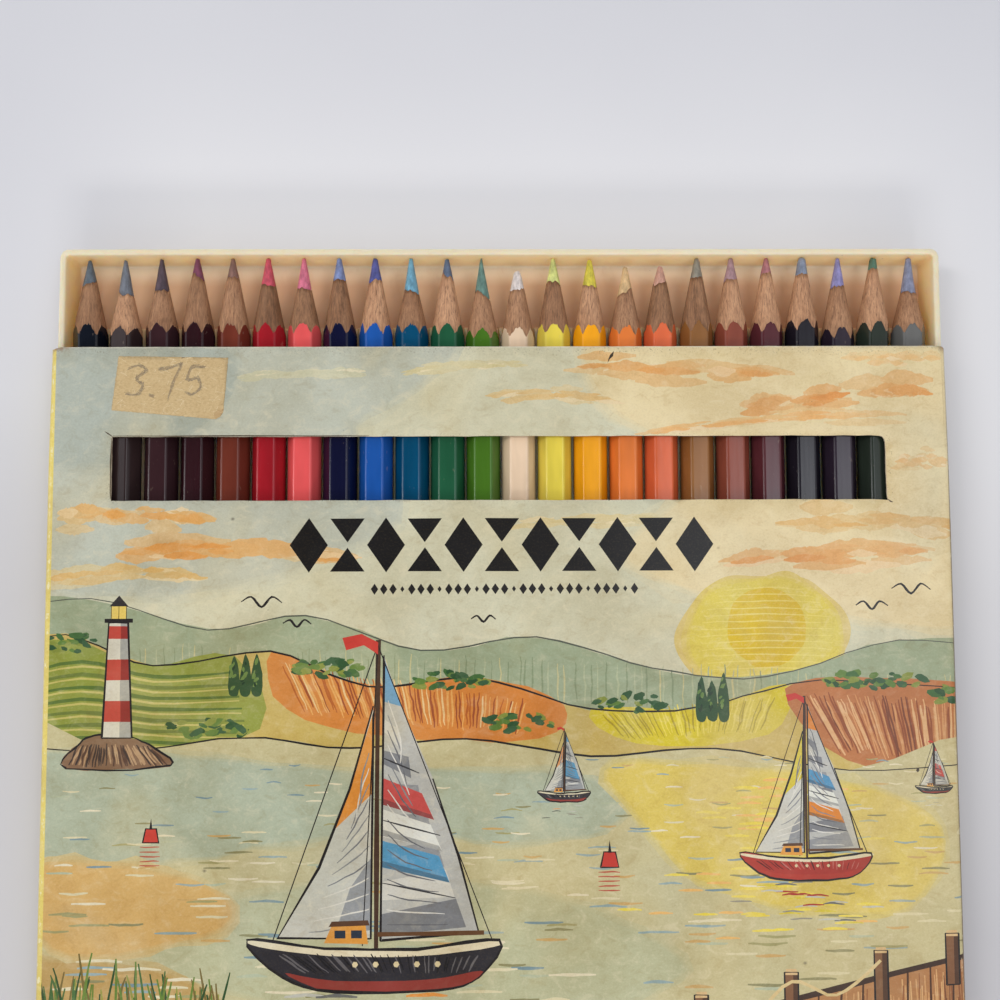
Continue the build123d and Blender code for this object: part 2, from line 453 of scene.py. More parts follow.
class Pencil:
    """One pencil's shape, as rings of points along it."""

    def __init__(self, number, tip_y, lead_y, peak_y, slant, tip_r, roll, lean):
        self.number = number
        self.rng = random.Random(100 + number)
        self.tip_y = min(tip_y + 0.3, TIP_LIMIT - 0.05)
        self.tip_r = 0.8 * tip_r
        self.lead_y = lead_y
        self.lead_r = min(max(APOTHEM - (lead_y - peak_y) * SHARPENING, 1.0), 1.72)
        self.wood_slope = (APOTHEM - self.lead_r) / (lead_y - peak_y)
        self.tip_slope = (self.lead_r - self.tip_r) / (self.tip_y - lead_y)
        self.bore = min(self.lead_r, WIDEST_LEAD) - BORE_INSET
        self.roll = math.radians(roll)
        self.lean = lean
        self.axis_x = TRAY_X + (number - 12.5) * PENCIL_PITCH
        self.axis_x += self.rng.uniform(-0.12, 0.12) * 0.6 - 0.12
        self.seed = Vector((number * 7.3, 1.7, 4.1))
        self.edge, self.base = [], []
        for a in ANGLES:
            hexed = hexagon_radius(a)
            ragged = 0.55 * self.bumps(a, 0, 4.5) + 0.3 * self.bumps(a, 1, 14) + 0.42 * self.bumps(a, 2, 34)
            self.edge.append((hexed, peak_y - (hexed - APOTHEM) / self.wood_slope + ragged))
            self.base.append(lead_y - slant * math.sin(a + self.roll) + 0.7 * self.bumps(a, 2, 2.2))

    def bumps(self, angle, layer, scale):
        """Noise round the pencil, in layers that differ."""
        return noise.noise(Vector((math.sin(angle), math.cos(angle), layer)) * scale + self.seed)

    def cone(self, y):
        """The sharpened cone's radius: wood up to the lead's base, and the lead beyond it."""
        slope = self.wood_slope if y < self.lead_y else self.tip_slope
        return self.lead_r + (self.lead_y - y) * slope

    def place(self, radius, angle, y):
        """A point at a radius and angle, the axis bent a little along the pencil."""
        turn = angle + self.roll
        fore = max(0.0, (y - 60.0) / 52.0)
        x = self.axis_x + self.lean * fore * fore
        z = AXIS_Z + 1.3 * max(0.0, (y - 75.0) / 38.0) ** 1.6
        return (x + radius * math.sin(turn), y, z + radius * math.cos(turn))

    def edge_ring(self, inset, shift):
        """A ring along the paint's scalloped edge."""
        return [self.place(r - inset, a, y + shift) for a, (r, y) in zip(ANGLES, self.edge)]

    def casing(self, name):
        """Painted barrel, sharpened wood and the bore, as rings that join end to end."""
        rings = [[self.place(hexagon_radius(a) - cut, a, y) for a in ANGLES] for y, cut in BARREL]
        rings.append(self.edge_ring(0.0, -0.2))
        painted = len(rings)
        rings += [self.edge_ring(0.0, 0.0), self.edge_ring(PAINT_STEP, 0.05)]
        for t in [s / WOOD_RINGS for s in range(1, WOOD_RINGS + 1)]:
            ring = []
            for a, (hexed, edge_y), base_y in zip(ANGLES, self.edge, self.base):
                y = edge_y + 0.05 + (base_y - edge_y - 0.05) * t
                facet = 0.05 * self.bumps(a, 5, 2.5) * math.sin(math.pi * t)
                ring.append(self.place(min(self.cone(y) + facet, hexed - PAINT_STEP), a, y))
            rings.append(ring)
        rings.append([self.place(self.bore, a, y - 0.4) for a, y in zip(ANGLES, self.base)])
        rings += [[self.place(self.bore, a, y) for a in ANGLES] for y in (60, PENCIL_BACK + 0.05)]
        faces, slots = [], []
        columns = len(ANGLES)
        for i in range(len(rings)):
            faces += between(i * columns, (i + 1) % len(rings) * columns, columns)
            slots += [0 if i < painted else 1] * columns
        obj = new_mesh(name, joined(rings), faces)
        obj.data.polygons.foreach_set("material_index", slots)
        return obj

    def lead(self, name):
        """The lead: it starts inside the bore and ends in a rounded, worn tip."""
        core = self.bore - LEAD_PLAY
        rings = []
        for y, cut in ((PENCIL_BACK + 0.05, 0.1), (PENCIL_BACK + 0.15, 0.0), (60, 0.0)):
            rings.append([self.place(core - cut, a, y) for a in LEAD_ANGLES])
        cap = self.tip_r * 0.55
        end = self.tip_y - cap
        for t in (0.0, 0.12, 0.3, 0.5, 0.7, 0.86, 0.95, 1.0):
            ring = []
            for a, start in zip(LEAD_ANGLES, self.base[::2]):
                y = start - 0.5 + (end - start + 0.5) * t
                bite = 1 + 0.16 * self.bumps(a, y, 1.6) * t
                ring.append(self.place((self.cone(y) if t else core) * bite, a, y))
            rings.append(ring)
        for t in (0.45, 0.78, 0.95):
            y = end + cap * math.sin(t * math.pi / 2)
            r = (self.tip_r + self.tip_slope * cap) * math.cos(t * math.pi / 2)
            ring = []
            for a in LEAD_ANGLES:
                tilt = 0.25 * self.tip_r * math.sin(a + self.rng.random() * 0.02 + self.number)
                ring.append(self.place(r, a, min(y + tilt * t, TIP_LIMIT)))
            rings.append(ring)
        return new_mesh(name, joined(rings), solid_faces(rings))


def paint_material(number, name, colour):
    """Glossy lacquer over wood, with fine lengthwise ripples, dust, small chips, and painted shade on the
    lower sides towards the gaps between pencils.
    """
    m = material(f"paint_{name}")
    cloud = m.ramp(m.noise((1, 0.25, 1), 0.25, 2), (0.3, 0.0), (0.7, 1.0))
    chips = m.ramp(m.noise((1, 0.5, 1), 0.9, 2), (0.70, 0.0), (0.74, 1.0))
    # Painted shade: the paint darkens from a little above the axis downwards, into the gaps between pencils
    painted_shade_between = ((7.7 - m.axes()[2]) / 1.1).clamped()
    m.base = m.mix(cloud, colour, toned(colour, 1.1, 3))
    m.lay(m.specks((1, 0.8, 1), 0.42 + 0.02 * (number % 5), 0.035) * 0.35, (205, 190, 170))
    m.lay(chips * 0.12, (190, 170, 150))
    m.lay(painted_shade_between * 0.55, (64, 50, 42), "MULTIPLY")
    m.bump(m.noise((1.1, 0.05, 1.1), 1.0, 3), 0.18, 0.06)
    ripple = m.noise((1.4, 0.03, 1.4), 1.0, 4, 0.6)
    return m.finished(Roughness=m.ramp(ripple, (0.3, 0.14), (0.75, 0.21)), IOR=1.5)


def wood_material(number, name, paleness):
    """Sharpened cedar: fine lengthwise grain, darker pores and a soft rosy tone."""
    m = material(f"wood_{name}")
    tone = 0.35 * random.Random(40 + number).uniform(-1, 1) + 0.4 + paleness
    light = (200 + 13 * tone, 153 + 12 * tone, 115 + 11 * tone)
    dark = (142 + 14 * tone, 102 + 11 * tone, 74 + 9 * tone)
    fibre = m.noise((2.6, 0.05, 2.6), 1.0, 6, 0.7, 0.1)
    pores = m.noise((4.4, 0.07, 4.4), 1.0, 3, 0.6)
    bands = m.noise((0.5, 0.05, 0.5), 1.0, 2)
    patch = m.noise((0.3, 0.12, 0.3), 1.0, 2, 0.5, 0.5)
    m.base = m.mix(m.ramp(fibre, (0.34, 0.0), (0.62, 1.0)), dark, light)
    m.lay(m.ramp(pores, (0.34, 0.75), (0.45, 0.0)), (92, 62, 42))
    m.lay(m.ramp(bands, (0.35, 0.0), (0.7, 0.3)), (200, 152, 116))
    m.lay(m.ramp(patch, (0.32, 0.3), (0.6, 0.0)), (190, 160, 130), "MULTIPLY")
    m.bump(fibre, 0.4, 0.07)
    return m.finished(Roughness=0.62)


def lead_material(name, colour):
    """Waxy pigment with rubbed facets and a little dust."""
    m = material(f"lead_{name}")
    rub = m.noise((1.2, 0.5, 1.2), 1.0, 3, 0.6)
    dust = m.noise((4, 2, 4), 1.0, 2)
    m.base = m.mix(m.ramp(rub, (0.32, 0.0), (0.7, 1.0)), toned(colour, 0.84), toned(colour, 1.08, 6))
    m.lay(m.ramp(dust, (0.6, 0.0), (0.72, 0.3)), toned(colour, 0.7))
    m.bump(rub, 0.3, 0.08)
    return m.finished(Roughness=0.5)


for number, (name, paint, pigment, *shape, paleness) in PENCILS.items():
    row = f"pencil_{number:02d}"
    pencil = Pencil(number, *shape)
    casing = pencil.casing(f"{row}_painted_casing")
    looks = (paint_material(number, name, paint), wood_material(number, name, paleness))
    assign(casing, "tray", f"{row}_casing", f"paint_{name}", *looks)
    lead = pencil.lead(f"{row}_pigment_lead")
    assign(lead, "tray", f"{row}_lead", f"lead_{name}", lead_material(name, pigment))
    fix_normals(casing)
    fix_normals(lead)

# Tray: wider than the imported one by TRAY_SPREAD on each side, within the sleeve's play
TRAY_SPREAD = 0.45
TRAY_FOOT_ROUND = 0.6
RIM_ROUND = 0.52
RIM_HEIGHT = 0.5
TRAY_WALL = 1.42
SIDE_STEPS = 16
CORNER_STEPS = 6


def rounded_ring(inset, z, radius):
    """Points round the tray at a distance inside its rim's outer edge."""
    half_x, half_y = TRAY_HALF_X + TRAY_SPREAD - inset, TRAY_HALF_Y - inset
    x, y = half_x - radius, half_y - radius
    corners = []
    for start, middle in zip((0, 90, 180, 270), ((x, y), (-x, y), (-x, -y), (x, -y))):
        turns = [math.radians(start + 90 * k / CORNER_STEPS) for k in range(CORNER_STEPS + 1)]
        corners.append([(middle[0] + radius * math.cos(a), middle[1] + radius * math.sin(a)) for a in turns])
    ring = []
    for corner, following in zip(corners, corners[1:] + corners[:1]):
        side = divided(corner[-1], following[0], math.dist(corner[-1], following[0]) / SIDE_STEPS)
        for x, y in corner + side[1:]:
            dent = 0.05 * (1 + noise.noise(Vector((x * 0.05, y * 0.05, 3.0))))
            ring.append((TRAY_X + x * (1 - dent / half_x), TRAY_Y + y * (1 - dent / half_y), z))
    return ring


def quarter(*degrees):
    """Sine and cosine of each angle, with the angle."""
    return [(math.sin(math.radians(a)), math.cos(math.radians(a)), a) for a in degrees]


def shell_rings():
    """The shell's section as rings: underside, outer wall, rounded rim, inner wall, floor."""
    low, high, floor_z = TRAY_LOW.z, TRAY_HIGH.z, TRAY_LOW.z + TRAY_FLOOR
    turns = quarter(0, 18, 36, 54, 72, 90)
    rings = [(3.0, low, 1.0), (0.8, low, 1.5), (0.42, low + 0.08, 1.9), (0.28, low + 0.4, 2.0)]
    for t in (0.1, 0.4, 0.7, 0.95):
        rings.append((0.26 - 0.26 * t, low + 0.6 + (high - low - 1.1) * t, 2.1))
    for s, c, a in turns:
        rings.append((RIM_ROUND * (1 - c), high - RIM_HEIGHT + RIM_HEIGHT * s, 2.1 - a / 200))
    for s, c, a in turns:
        rings.append((TRAY_WALL - RIM_ROUND * (1 - s), high - RIM_HEIGHT + RIM_HEIGHT * c, 1.25 - a / 200))
    rings += [(1.44, high - 2.5, 0.8), (1.5, high - 4.5, 0.8)]
    for s, c, a in quarter(0, 12, 24, 36, 48, 60, 72, 90):
        inset = 1.56 + TRAY_FOOT_ROUND * (1 - c)
        rings.append((inset, floor_z + TRAY_FOOT_ROUND * (1 - s), 0.9 + a / 60))
    return [rounded_ring(*ring) for ring in rings]


def both_ends(*ends):
    """Places along Y with their heights, from one end of the bed to the other."""
    return [(-y, height) for y, height in ends] + [(y, height) for y, height in reversed(ends)]


def bed_sections():
    """Sections of the raised bed along the tray, its ends rounded."""
    floor_z = TRAY_LOW.z + TRAY_FLOOR
    wide = TRAY_HALF_X - 0.9
    sections = []
    for y, drop in both_ends((74, 1.1), (73.8, 0.4), (73.3, 0.06), (72, 0)):
        corners = ((-wide, floor_z - 0.1), (-wide, floor_z + BED_HEIGHT - drop))
        corners += ((wide, floor_z + BED_HEIGHT - drop), (wide, floor_z - 0.1))
        sections.append([(TRAY_X + x, TRAY_Y + y, z) for x, z in corners])
    return sections


def rib_sections(number):
    """Sections of the rib to the right of a pencil, a little wavy, its ends sloped."""
    middle_x = TRAY_X + (number - 12) * PENCIL_PITCH
    bed_z = TRAY_LOW.z + TRAY_FLOOR + BED_HEIGHT
    sections = []
    for y, rise in both_ends((73.9, 0.3), (73.3, 1.5), (72.4, 2.2), (71, 2.5)):
        wave = 0.05 * noise.noise(Vector((number, y * 0.2, 0)))
        right = [(0.22, rise * 0.98), (0.8 - 0.15 * rise, rise * 0.86), (0.8, -0.05)]
        shape = [(-x, z) for x, z in reversed(right)] + [(0.0, rise)] + right
        sections.append([(middle_x + x + wave, TRAY_Y + y, bed_z + z) for x, z in shape])
    return sections


def tray_material():
    """Cream plastic with dirt and specks. Its colour by place is painted light and shade: a darker, more
    orange floor, paler towards the end walls, yellower inner walls, and a paler rim and outer faces.
    """
    m = material("tray_plastic")
    x, y, z = m.axes()
    side_x = abs(x - TRAY_X) - (TRAY_HALF_X - 0.6)
    side_y = abs(y - TRAY_Y) - (TRAY_HALF_Y - 1.05)
    outer = ((side_x.at_least(side_y) + 0.15) * 3.3).clamped()
    # Painted light: the floor grows paler towards both end walls
    painted_light_at_ends = ((side_y + 5.5) / 4.5).clamped()
    cloud = m.ramp(m.noise((1, 1, 1), 0.03, 3), (0.3, 0.0), (0.7, 1.0))
    # Painted light and shade: lit and shaded copies of the one plastic for the rim and outer faces, the inner
    # walls and the darker floor
    rim = m.mix(cloud, (233, 217, 190), (237, 222, 196))
    wall = m.mix(cloud, (250, 218, 170), (253, 222, 178))
    painted_shade_floor = m.mix(cloud, (240, 194, 154), (244, 200, 162))
    m.base = m.mix(painted_light_at_ends, painted_shade_floor, (255, 236, 206))
    m.lay(((z - 1.95) / 0.6).clamped(), wall)
    m.lay(outer.at_least(((z - 8.0) / 2.0).clamped()), rim)
    m.lay(m.ramp(m.noise((1, 0.6, 1), 0.35, 4, 0.65), (0.52, 0.0), (0.8, 0.25)), (222, 172, 126))
    m.lay(m.specks((1, 1, 1), 0.11, 0.03) * 0.7, (80, 56, 42))
    m.bump(m.noise((1, 1, 1), 0.8, 3), 0.1, 0.08)
    return m.finished(
        Roughness=0.34,
        Subsurface_Weight=((z - 2.2) * 0.3).clamped() * 0.7 + 0.2,
        Subsurface_Radius=(1.0, 0.7, 0.4),
        Subsurface_Scale=0.0035,
    )


def make_tray():
    """The shell, and the bed with a rib between each two pencils, in one mesh."""
    verts, faces = [], []
    for rings in [shell_rings(), bed_sections()] + [rib_sections(number) for number in range(1, 24)]:
        faces += solid_faces(rings, len(verts))
        verts += joined(rings)
    obj = new_mesh("moulded_tray", verts, faces)
    assign(obj, "tray", "tray", "tray_plastic", tray_material())
    fix_normals(obj)
    obj.modifiers.new("flat_faces", "WEIGHTED_NORMAL")


make_tray()

# Printed board: flat shapes are laid over each other in the unfolded sheet, cut into one
# triangle mesh with a colour for each face, and folded round the box
INK = (34, 31, 33)
PAPER = (214, 211, 182)
SAND = (202, 192, 146)


def turned(points):
    """The points in counter-clockwise order."""
    area = sum(a[0] * b[1] - b[0] * a[1] for a, b in zip(points, points[1:] + points[:1]))
    return points if area > 0 else points[::-1]


def smooth_line(points, steps, closed=False):
    """A Catmull-Rom curve through the points."""
    n = len(points)
    out = []
    for i in range(n if closed else n - 1):
        if closed:
            p = [points[(i + k) % n] for k in (-1, 0, 1, 2)]
        else:
            p = [points[min(max(i + k, 0), n - 1)] for k in (-1, 0, 1, 2)]
        for s in range(steps):
            t = s / steps
            out.append(
                tuple(
                    0.5 * (2 * b + (c - a) * t + (2 * a - 5 * b + 4 * c - d) * t * t
                           + (3 * b - a - 3 * c + d) * t**3)
                    for a, b, c, d in zip(*p)
                )
            )
    if not closed:
        out.append(tuple(points[-1]))
    return out


def shaken(points, size, pitch, seed):
    """The points moved a little, as a hand would draw them."""
    return [
        (
            x + size * noise.noise(Vector((x * pitch, y * pitch, seed))),
            y + size * noise.noise(Vector((x * pitch, y * pitch, seed + 9.0))),
        )
        for x, y in points
    ]


class Artwork:
    """Flat shapes in the order they are printed."""

    def __init__(self, seed):
        self.shapes = []
        self.rng = random.Random(seed)

    def area(self, points, colour, curve, shake, pitch=0.35):
        """A shape with curved sides, its outline a little unsteady."""
        if curve:
            points = smooth_line(points, curve, closed=True)
        if shake:
            points = shaken(points, shake, pitch, self.rng.uniform(0, 50))
        self.shapes.append((turned(list(points)), colour))

    def patch(self, points, colour, shake=0.1):
        """A shape with straight sides."""
        self.area(points, colour, 0, shake)

    def wash(self, points, colour, ground, steps, spread):
        """An area whose edge fades into its ground in a few uneven steps."""
        loop = turned(smooth_line(points, 6, closed=True))
        n = len(loop)
        seed = self.rng.uniform(0, 50)
        for k in range(steps):
            out = spread * (1 - (k + 1) / steps)
            moved = []
            for i, (x, y) in enumerate(loop):
                ax, ay = loop[i - 1]
                bx, by = loop[(i + 1) % n]
                size = math.hypot(bx - ax, by - ay) or 1.0
                push = out * (1 + 1.2 * noise.noise(Vector((x * 0.12, y * 0.12, seed + 3 * k))))
                moved.append((x + (by - ay) / size * push, y - (bx - ax) / size * push))
            tone = tuple(g + (c - g) * (k + 1) / steps for g, c in zip(ground, colour))
            self.shapes.append((turned(shaken(moved, 1.4, 0.09, seed)), tone))

    def stroke(self, points, width, colour, curve=4, shake=0.25, taper=0.6):
        """A line with a swelling width, as one closed outline."""
        if curve:
            points = smooth_line(points, curve)
        points = shaken(points, shake, 0.5, self.rng.uniform(0, 50))
        n = len(points)
        left, right = [], []
        for i, (x, y) in enumerate(points):
            ax, ay = points[max(i - 1, 0)]
            bx, by = points[min(i + 1, n - 1)]
            dx, dy = bx - ax, by - ay
            size = math.hypot(dx, dy) or 1.0
            t = i / max(n - 1, 1)
            w = width / 2 * (1 - taper + taper * math.sin(math.pi * min(max(t, 0.04), 0.96)))
            w *= self.rng.uniform(0.8, 1.15)
            left.append((x - dy / size * w, y + dx / size * w))
            right.append((x + dy / size * w, y - dx / size * w))
        self.shapes.append((turned(left + right[::-1]), colour))

    def outline(self, points, width, curve=5, shake=0.4):
        """An ink line round a shape, in two overlapping pulls of the pen."""
        points = list(points)
        loop = smooth_line(points, curve, closed=True) if curve else points + points[:1]
        half = len(loop) // 2
        self.stroke(loop[: half + 2], width, INK, 0, shake)
        self.stroke(loop[half:] + loop[:2], width, INK, 0, shake)

    def hatch(self, corners, count, width, colours, shake=0.4):
        """Pencil strokes across a four-cornered patch, from its first side to its third."""
        a, b, c, d = corners
        for i in range(count):
            s = (i + self.rng.uniform(0.1, 0.9)) / count
            low, high = self.rng.uniform(0.0, 0.16), 1.0 - self.rng.uniform(0.0, 0.16)
            p = [a[k] + (b[k] - a[k]) * s for k in (0, 1)]
            q = [d[k] + (c[k] - d[k]) * s for k in (0, 1)]
            places = (low, (low + high) / 2, high)
            line = [(p[0] + (q[0] - p[0]) * t, p[1] + (q[1] - p[1]) * t) for t in places]
            self.stroke(line, width * self.rng.uniform(0.7, 1.3), self.rng.choice(colours), 3, shake)

    def dabs(self, middle, spread, count, size, colours, lean=0.0):
        """Small brush marks scattered in an oval."""
        for _ in range(count):
            angle = self.rng.uniform(0, 2 * math.pi)
            far = math.sqrt(self.rng.random())
            x = middle[0] + spread[0] * far * math.cos(angle)
            y = middle[1] + spread[1] * far * math.sin(angle)
            r = size * self.rng.uniform(0.6, 1.4)
            turn = lean + self.rng.uniform(-0.6, 0.6)
            points = []
            for k in range(7):
                a = 2 * math.pi * k / 7
                px, py = r * 1.5 * math.cos(a), r * 0.75 * math.sin(a)
                px *= self.rng.uniform(0.75, 1.2)
                py *= self.rng.uniform(0.75, 1.2)
                points.append(
                    (x + px * math.cos(turn) - py * math.sin(turn),
                     y + px * math.sin(turn) + py * math.cos(turn))
                )
            self.shapes.append((turned(points), self.rng.choice(colours)))


def cut_sheet(name, outline, holes, artwork, ground, lines, spots, place):
    """One triangle mesh of the outline, without the holes, coloured by the top shape."""
    verts, edges, faces = [], [], []

    def ring(points):
        start = len(verts)
        verts.extend(Vector(p) for p in points)
        faces.append(list(range(start, start + len(points))))

    ring(turned(list(outline)))
    for hole in holes:
        ring(turned(list(hole)))
    first = len(faces)
    for points, _ in artwork.shapes:
        ring(points)
    for a, b in lines:
        edges.append((len(verts), len(verts) + 1))
        verts.extend((Vector(a), Vector(b)))
    verts.extend(Vector(p) for p in spots)
    out, _, triangles, _, _, origin = delaunay_2d_cdt(verts, edges, faces, 0, 1e-5, True)
    kept, colours = [], []
    for triangle, inside in zip(triangles, origin):
        if 0 not in inside or any(0 < i < first for i in inside):
            continue
        top = max(inside)
        colour = ground if top < first else artwork.shapes[top - first][1]
        colours.extend(srgb(*colour) * 3)
        kept.append(triangle)
    used = sorted({i for triangle in kept for i in triangle})
    index = {v: i for i, v in enumerate(used)}
    points = [place(out[i].x, out[i].y) for i in used]
    obj = new_mesh(name, points, [tuple(index[i] for i in triangle) for triangle in kept])
    layer = obj.data.color_attributes.new("print", "FLOAT_COLOR", "CORNER")
    layer.data.foreach_set("color", colours)
    return obj


# The unfolded sleeve: u runs to the right across the top panel, then down the right
# side, back under the box and up inside the left side; y is as in the frame
FLAT = HALF - FOLD
ARC = FOLD * math.pi / 2
SIDE = HEIGHT - 2 * FOLD
UNDER = 2 * FLAT - BOARD
FOLD_STARTS = (FLAT, FLAT + ARC + SIDE, FLAT + ARC + SIDE + ARC + UNDER)
LEFT_END = -(FLAT + ARC + SIDE)
RIGHT_END = FOLD_STARTS[2] + ARC + GLUE_FLAP


def sag(x, y):
    """How far the top panel hangs down, most at the middle of the window's long sides."""
    across = max(0.0, 1 - (x / FLAT) ** 2)
    near = math.exp(-(((y - 63) / 16) ** 2))
    wave = noise.noise(Vector((x * 0.03, y * 0.03, 2.0)))
    return 0.16 * across * near + 0.05 * across * (1 + wave)


def folded(u, y):
    """The sheet's outer face, folded into the sleeve."""
    side = 1 if u >= 0 else -1
    a = abs(u) - FLAT
    corner = math.exp(-((u + FLAT + 1.2) ** 2 + (y - FRONT) ** 2) / 3.0)
    corner += 1.1 * math.exp(-((u - FLAT - 1.6) ** 2 + (y - FRONT) ** 2) / 1.6)
    edge = max(0.0, 1 - (FRONT - y) / 0.6)
    y -= edge * (0.06 + 0.06 * noise.noise(Vector((u * 0.25, 0.0, 7.0)))) + 0.45 * corner
    if a <= 0:
        return (u, y, HEIGHT - sag(u, y) - 0.25 * corner)
    if a <= ARC:
        t = a / FOLD
        x = FLAT + FOLD * math.sin(t) - 0.25 * corner
        return (side * x, y, HEIGHT - FOLD + FOLD * math.cos(t) - 0.2 * corner)
    a -= ARC
    if a <= SIDE or side < 0:
        return (side * HALF, y, max(HEIGHT - FOLD - a, FOLD))
    a -= SIDE
    if a <= ARC:
        t = a / FOLD
        return (FLAT + FOLD * math.cos(t), y, FOLD - FOLD * math.sin(t))
    a -= ARC
    if a <= UNDER:
        return (FLAT - a, y, 0.0)
    a -= UNDER
    middle = -HALF + BOARD + FOLD
    if a <= ARC:
        t = a / FOLD
        return (middle - FOLD * math.sin(t), y, FOLD - FOLD * math.cos(t))
    return (-HALF + BOARD + 0.02, y, FOLD + a - ARC)


def window_outline():
    """The window's edge: cut a little unevenly, its right corners rounded."""
    top, low, left, right = 70.65, 56.05, -88.4, 88.15
    points = divided((left, top), (left, low), 1.5)
    points += divided((left, low), (right - 0.5, low - 0.1), 3.0)
    points += [(right + 0.3, low - 0.3), (right + 0.1, low + 0.3), (right, low + 1.2)]
    points += divided((right, low + 2.2), (right - 0.05, top - 2.6), 1.5)
    points += [(right - 0.12, top - 1.7), (right - 0.3, top - 0.9), (right - 0.65, top - 0.35)]
    points += [(right - 1.2, top - 0.08)]
    points += divided((right - 3.4, top - 0.02), (left + 0.2, top), 3.0)
    return shaken(points, 0.12, 0.9, 3.0)


def mixed(a, b, t):
    """A colour between two."""
    return tuple(int(p + (q - p) * t) for p, q in zip(a, b))


def sky(art):
    """Pale washes, level streaks of cloud and an evening sun."""
    rng = art.rng
    blue = (194, 197, 180)
    west = [(-116, 110), (-40, 110), (-10, 92), (-34, 72), (-24, 52), (-70, 36), (-116, 46)]
    east = [(34, 110), (116, 110), (116, 34), (74, 30), (30, 42), (44, 62), (20, 84)]
    corner = [(-116, 100), (-76, 102), (-60, 84), (-82, 66), (-116, 70)]
    art.wash(west, blue, PAPER, 5, 3.0)
    art.wash(corner, (178, 185, 173), blue, 4, 2.5)
    art.wash(east, (234, 216, 170), PAPER, 5, 3.5)
    streaks = [
        ((40, 85.0), 56, 4.6, (230, 172, 104)), ((78, 78), 48, 5.2, (233, 164, 92)),
        ((12, 78.5), 34, 2.6, (226, 190, 128)), ((90, 88), 24, 2.6, (238, 196, 136)),
        ((-44, 84.5), 34, 2.2, (205, 203, 172)), ((-8, 86), 30, 2.0, (216, 204, 156)),
        ((62, 73.0), 66, 2.4, (238, 184, 116)), ((-84, 52), 40, 5.0, (230, 172, 98)),
        ((-62, 44), 62, 5.4, (232, 160, 80)), ((-84, 38), 44, 3.6, (226, 184, 112)),
        ((84, 50), 44, 4.8, (229, 184, 114)), ((74, 42), 58, 4.4, (230, 164, 92)),
        ((20, 50.5), 40, 2.4, (222, 204, 150)), ((96, 64), 16, 3.0, (234, 190, 128)),
    ]
    for (x, y), length, high, colour in streaks:
        lean, bow = rng.uniform(-0.04, 0.1), rng.uniform(0.6, 1.8)
        for k in range(26):
            deep = k / 25
            reach = length * rng.uniform(0.14, 0.34) * (1.25 - 0.7 * deep)
            off = rng.uniform(-0.5, 0.5) * (length - reach)
            swell = math.sqrt(max(0.05, 1 - (2 * off / length) ** 2))
            lift = rng.gauss(0, 0.3) * high * swell * (1.1 - 0.5 * deep)
            line = []
            for px in [off + t * reach for t in (-0.5, -0.2, 0.1, 0.5)]:
                line.append((x + px, y + lift + lean * px + bow * (1 - (2 * px / length) ** 2)))
            ground = mixed(PAPER, (232, 214, 168), min(max((x + 20) / 60, 0), 1))
            tone = mixed(ground, colour, 0.3 + 0.7 * deep + rng.uniform(-0.1, 0.1))
            if k % 7 == 6:
                tone = mixed(tone, (246, 232, 200), 0.5)
            art.stroke(line, high * rng.uniform(0.35, 0.75) * (1.2 - 0.6 * deep), tone, 5, 0.4, 0.9)
    circle = [(math.cos(k * math.pi / 10), math.sin(k * math.pi / 10)) for k in range(20)]
    art.wash([(60 + 17 * c, 25 + 13 * s) for c, s in circle], (226, 206, 84), (222, 196, 130), 4, 2.6)
    art.area([(60 + 9 * c, 27 + 9 * s) for c, s in circle], (224, 190, 22), 3, 0.5, 0.3)
    for y in [16 + 1.5 * k for k in range(14)]:
        wide = math.sqrt(max(0.0, 1 - ((y - 25) / 13) ** 2)) * 15
        art.stroke([(60 - wide, y), (60, y + 0.5), (60 + wide, y)], 0.3, (236, 218, 110), 3, 0.3)


def lozenge(x, y, wide, high):
    return [(x - wide, y), (x, y - high), (x + wide, y), (x, y + high)]


def ornament(art):
    """A bold row of plain shapes with a fine row of lozenges under it."""
    for k in range(11):
        x, y = -43.5 + 8.75 * k, 45.9
        shapes = [lozenge(x, y, 4.3, 6.2)]
        if k % 2:
            shapes = [[(x - 3.9, y + 6 * s), (x, y + 0.6 * s), (x + 3.9, y + 6 * s)] for s in (-1, 1)]
        for points in shapes:
            art.area(points, (24, 23, 25), 0, 0.1, 0.6)
    for k in range(29):
        size = 0.55 if k % 4 == 3 else 1.0
        art.patch(lozenge(-28.6 + 2.1 * k, 35.9, 0.85 * size, 1.25 * size), (38, 36, 38), 0.05)


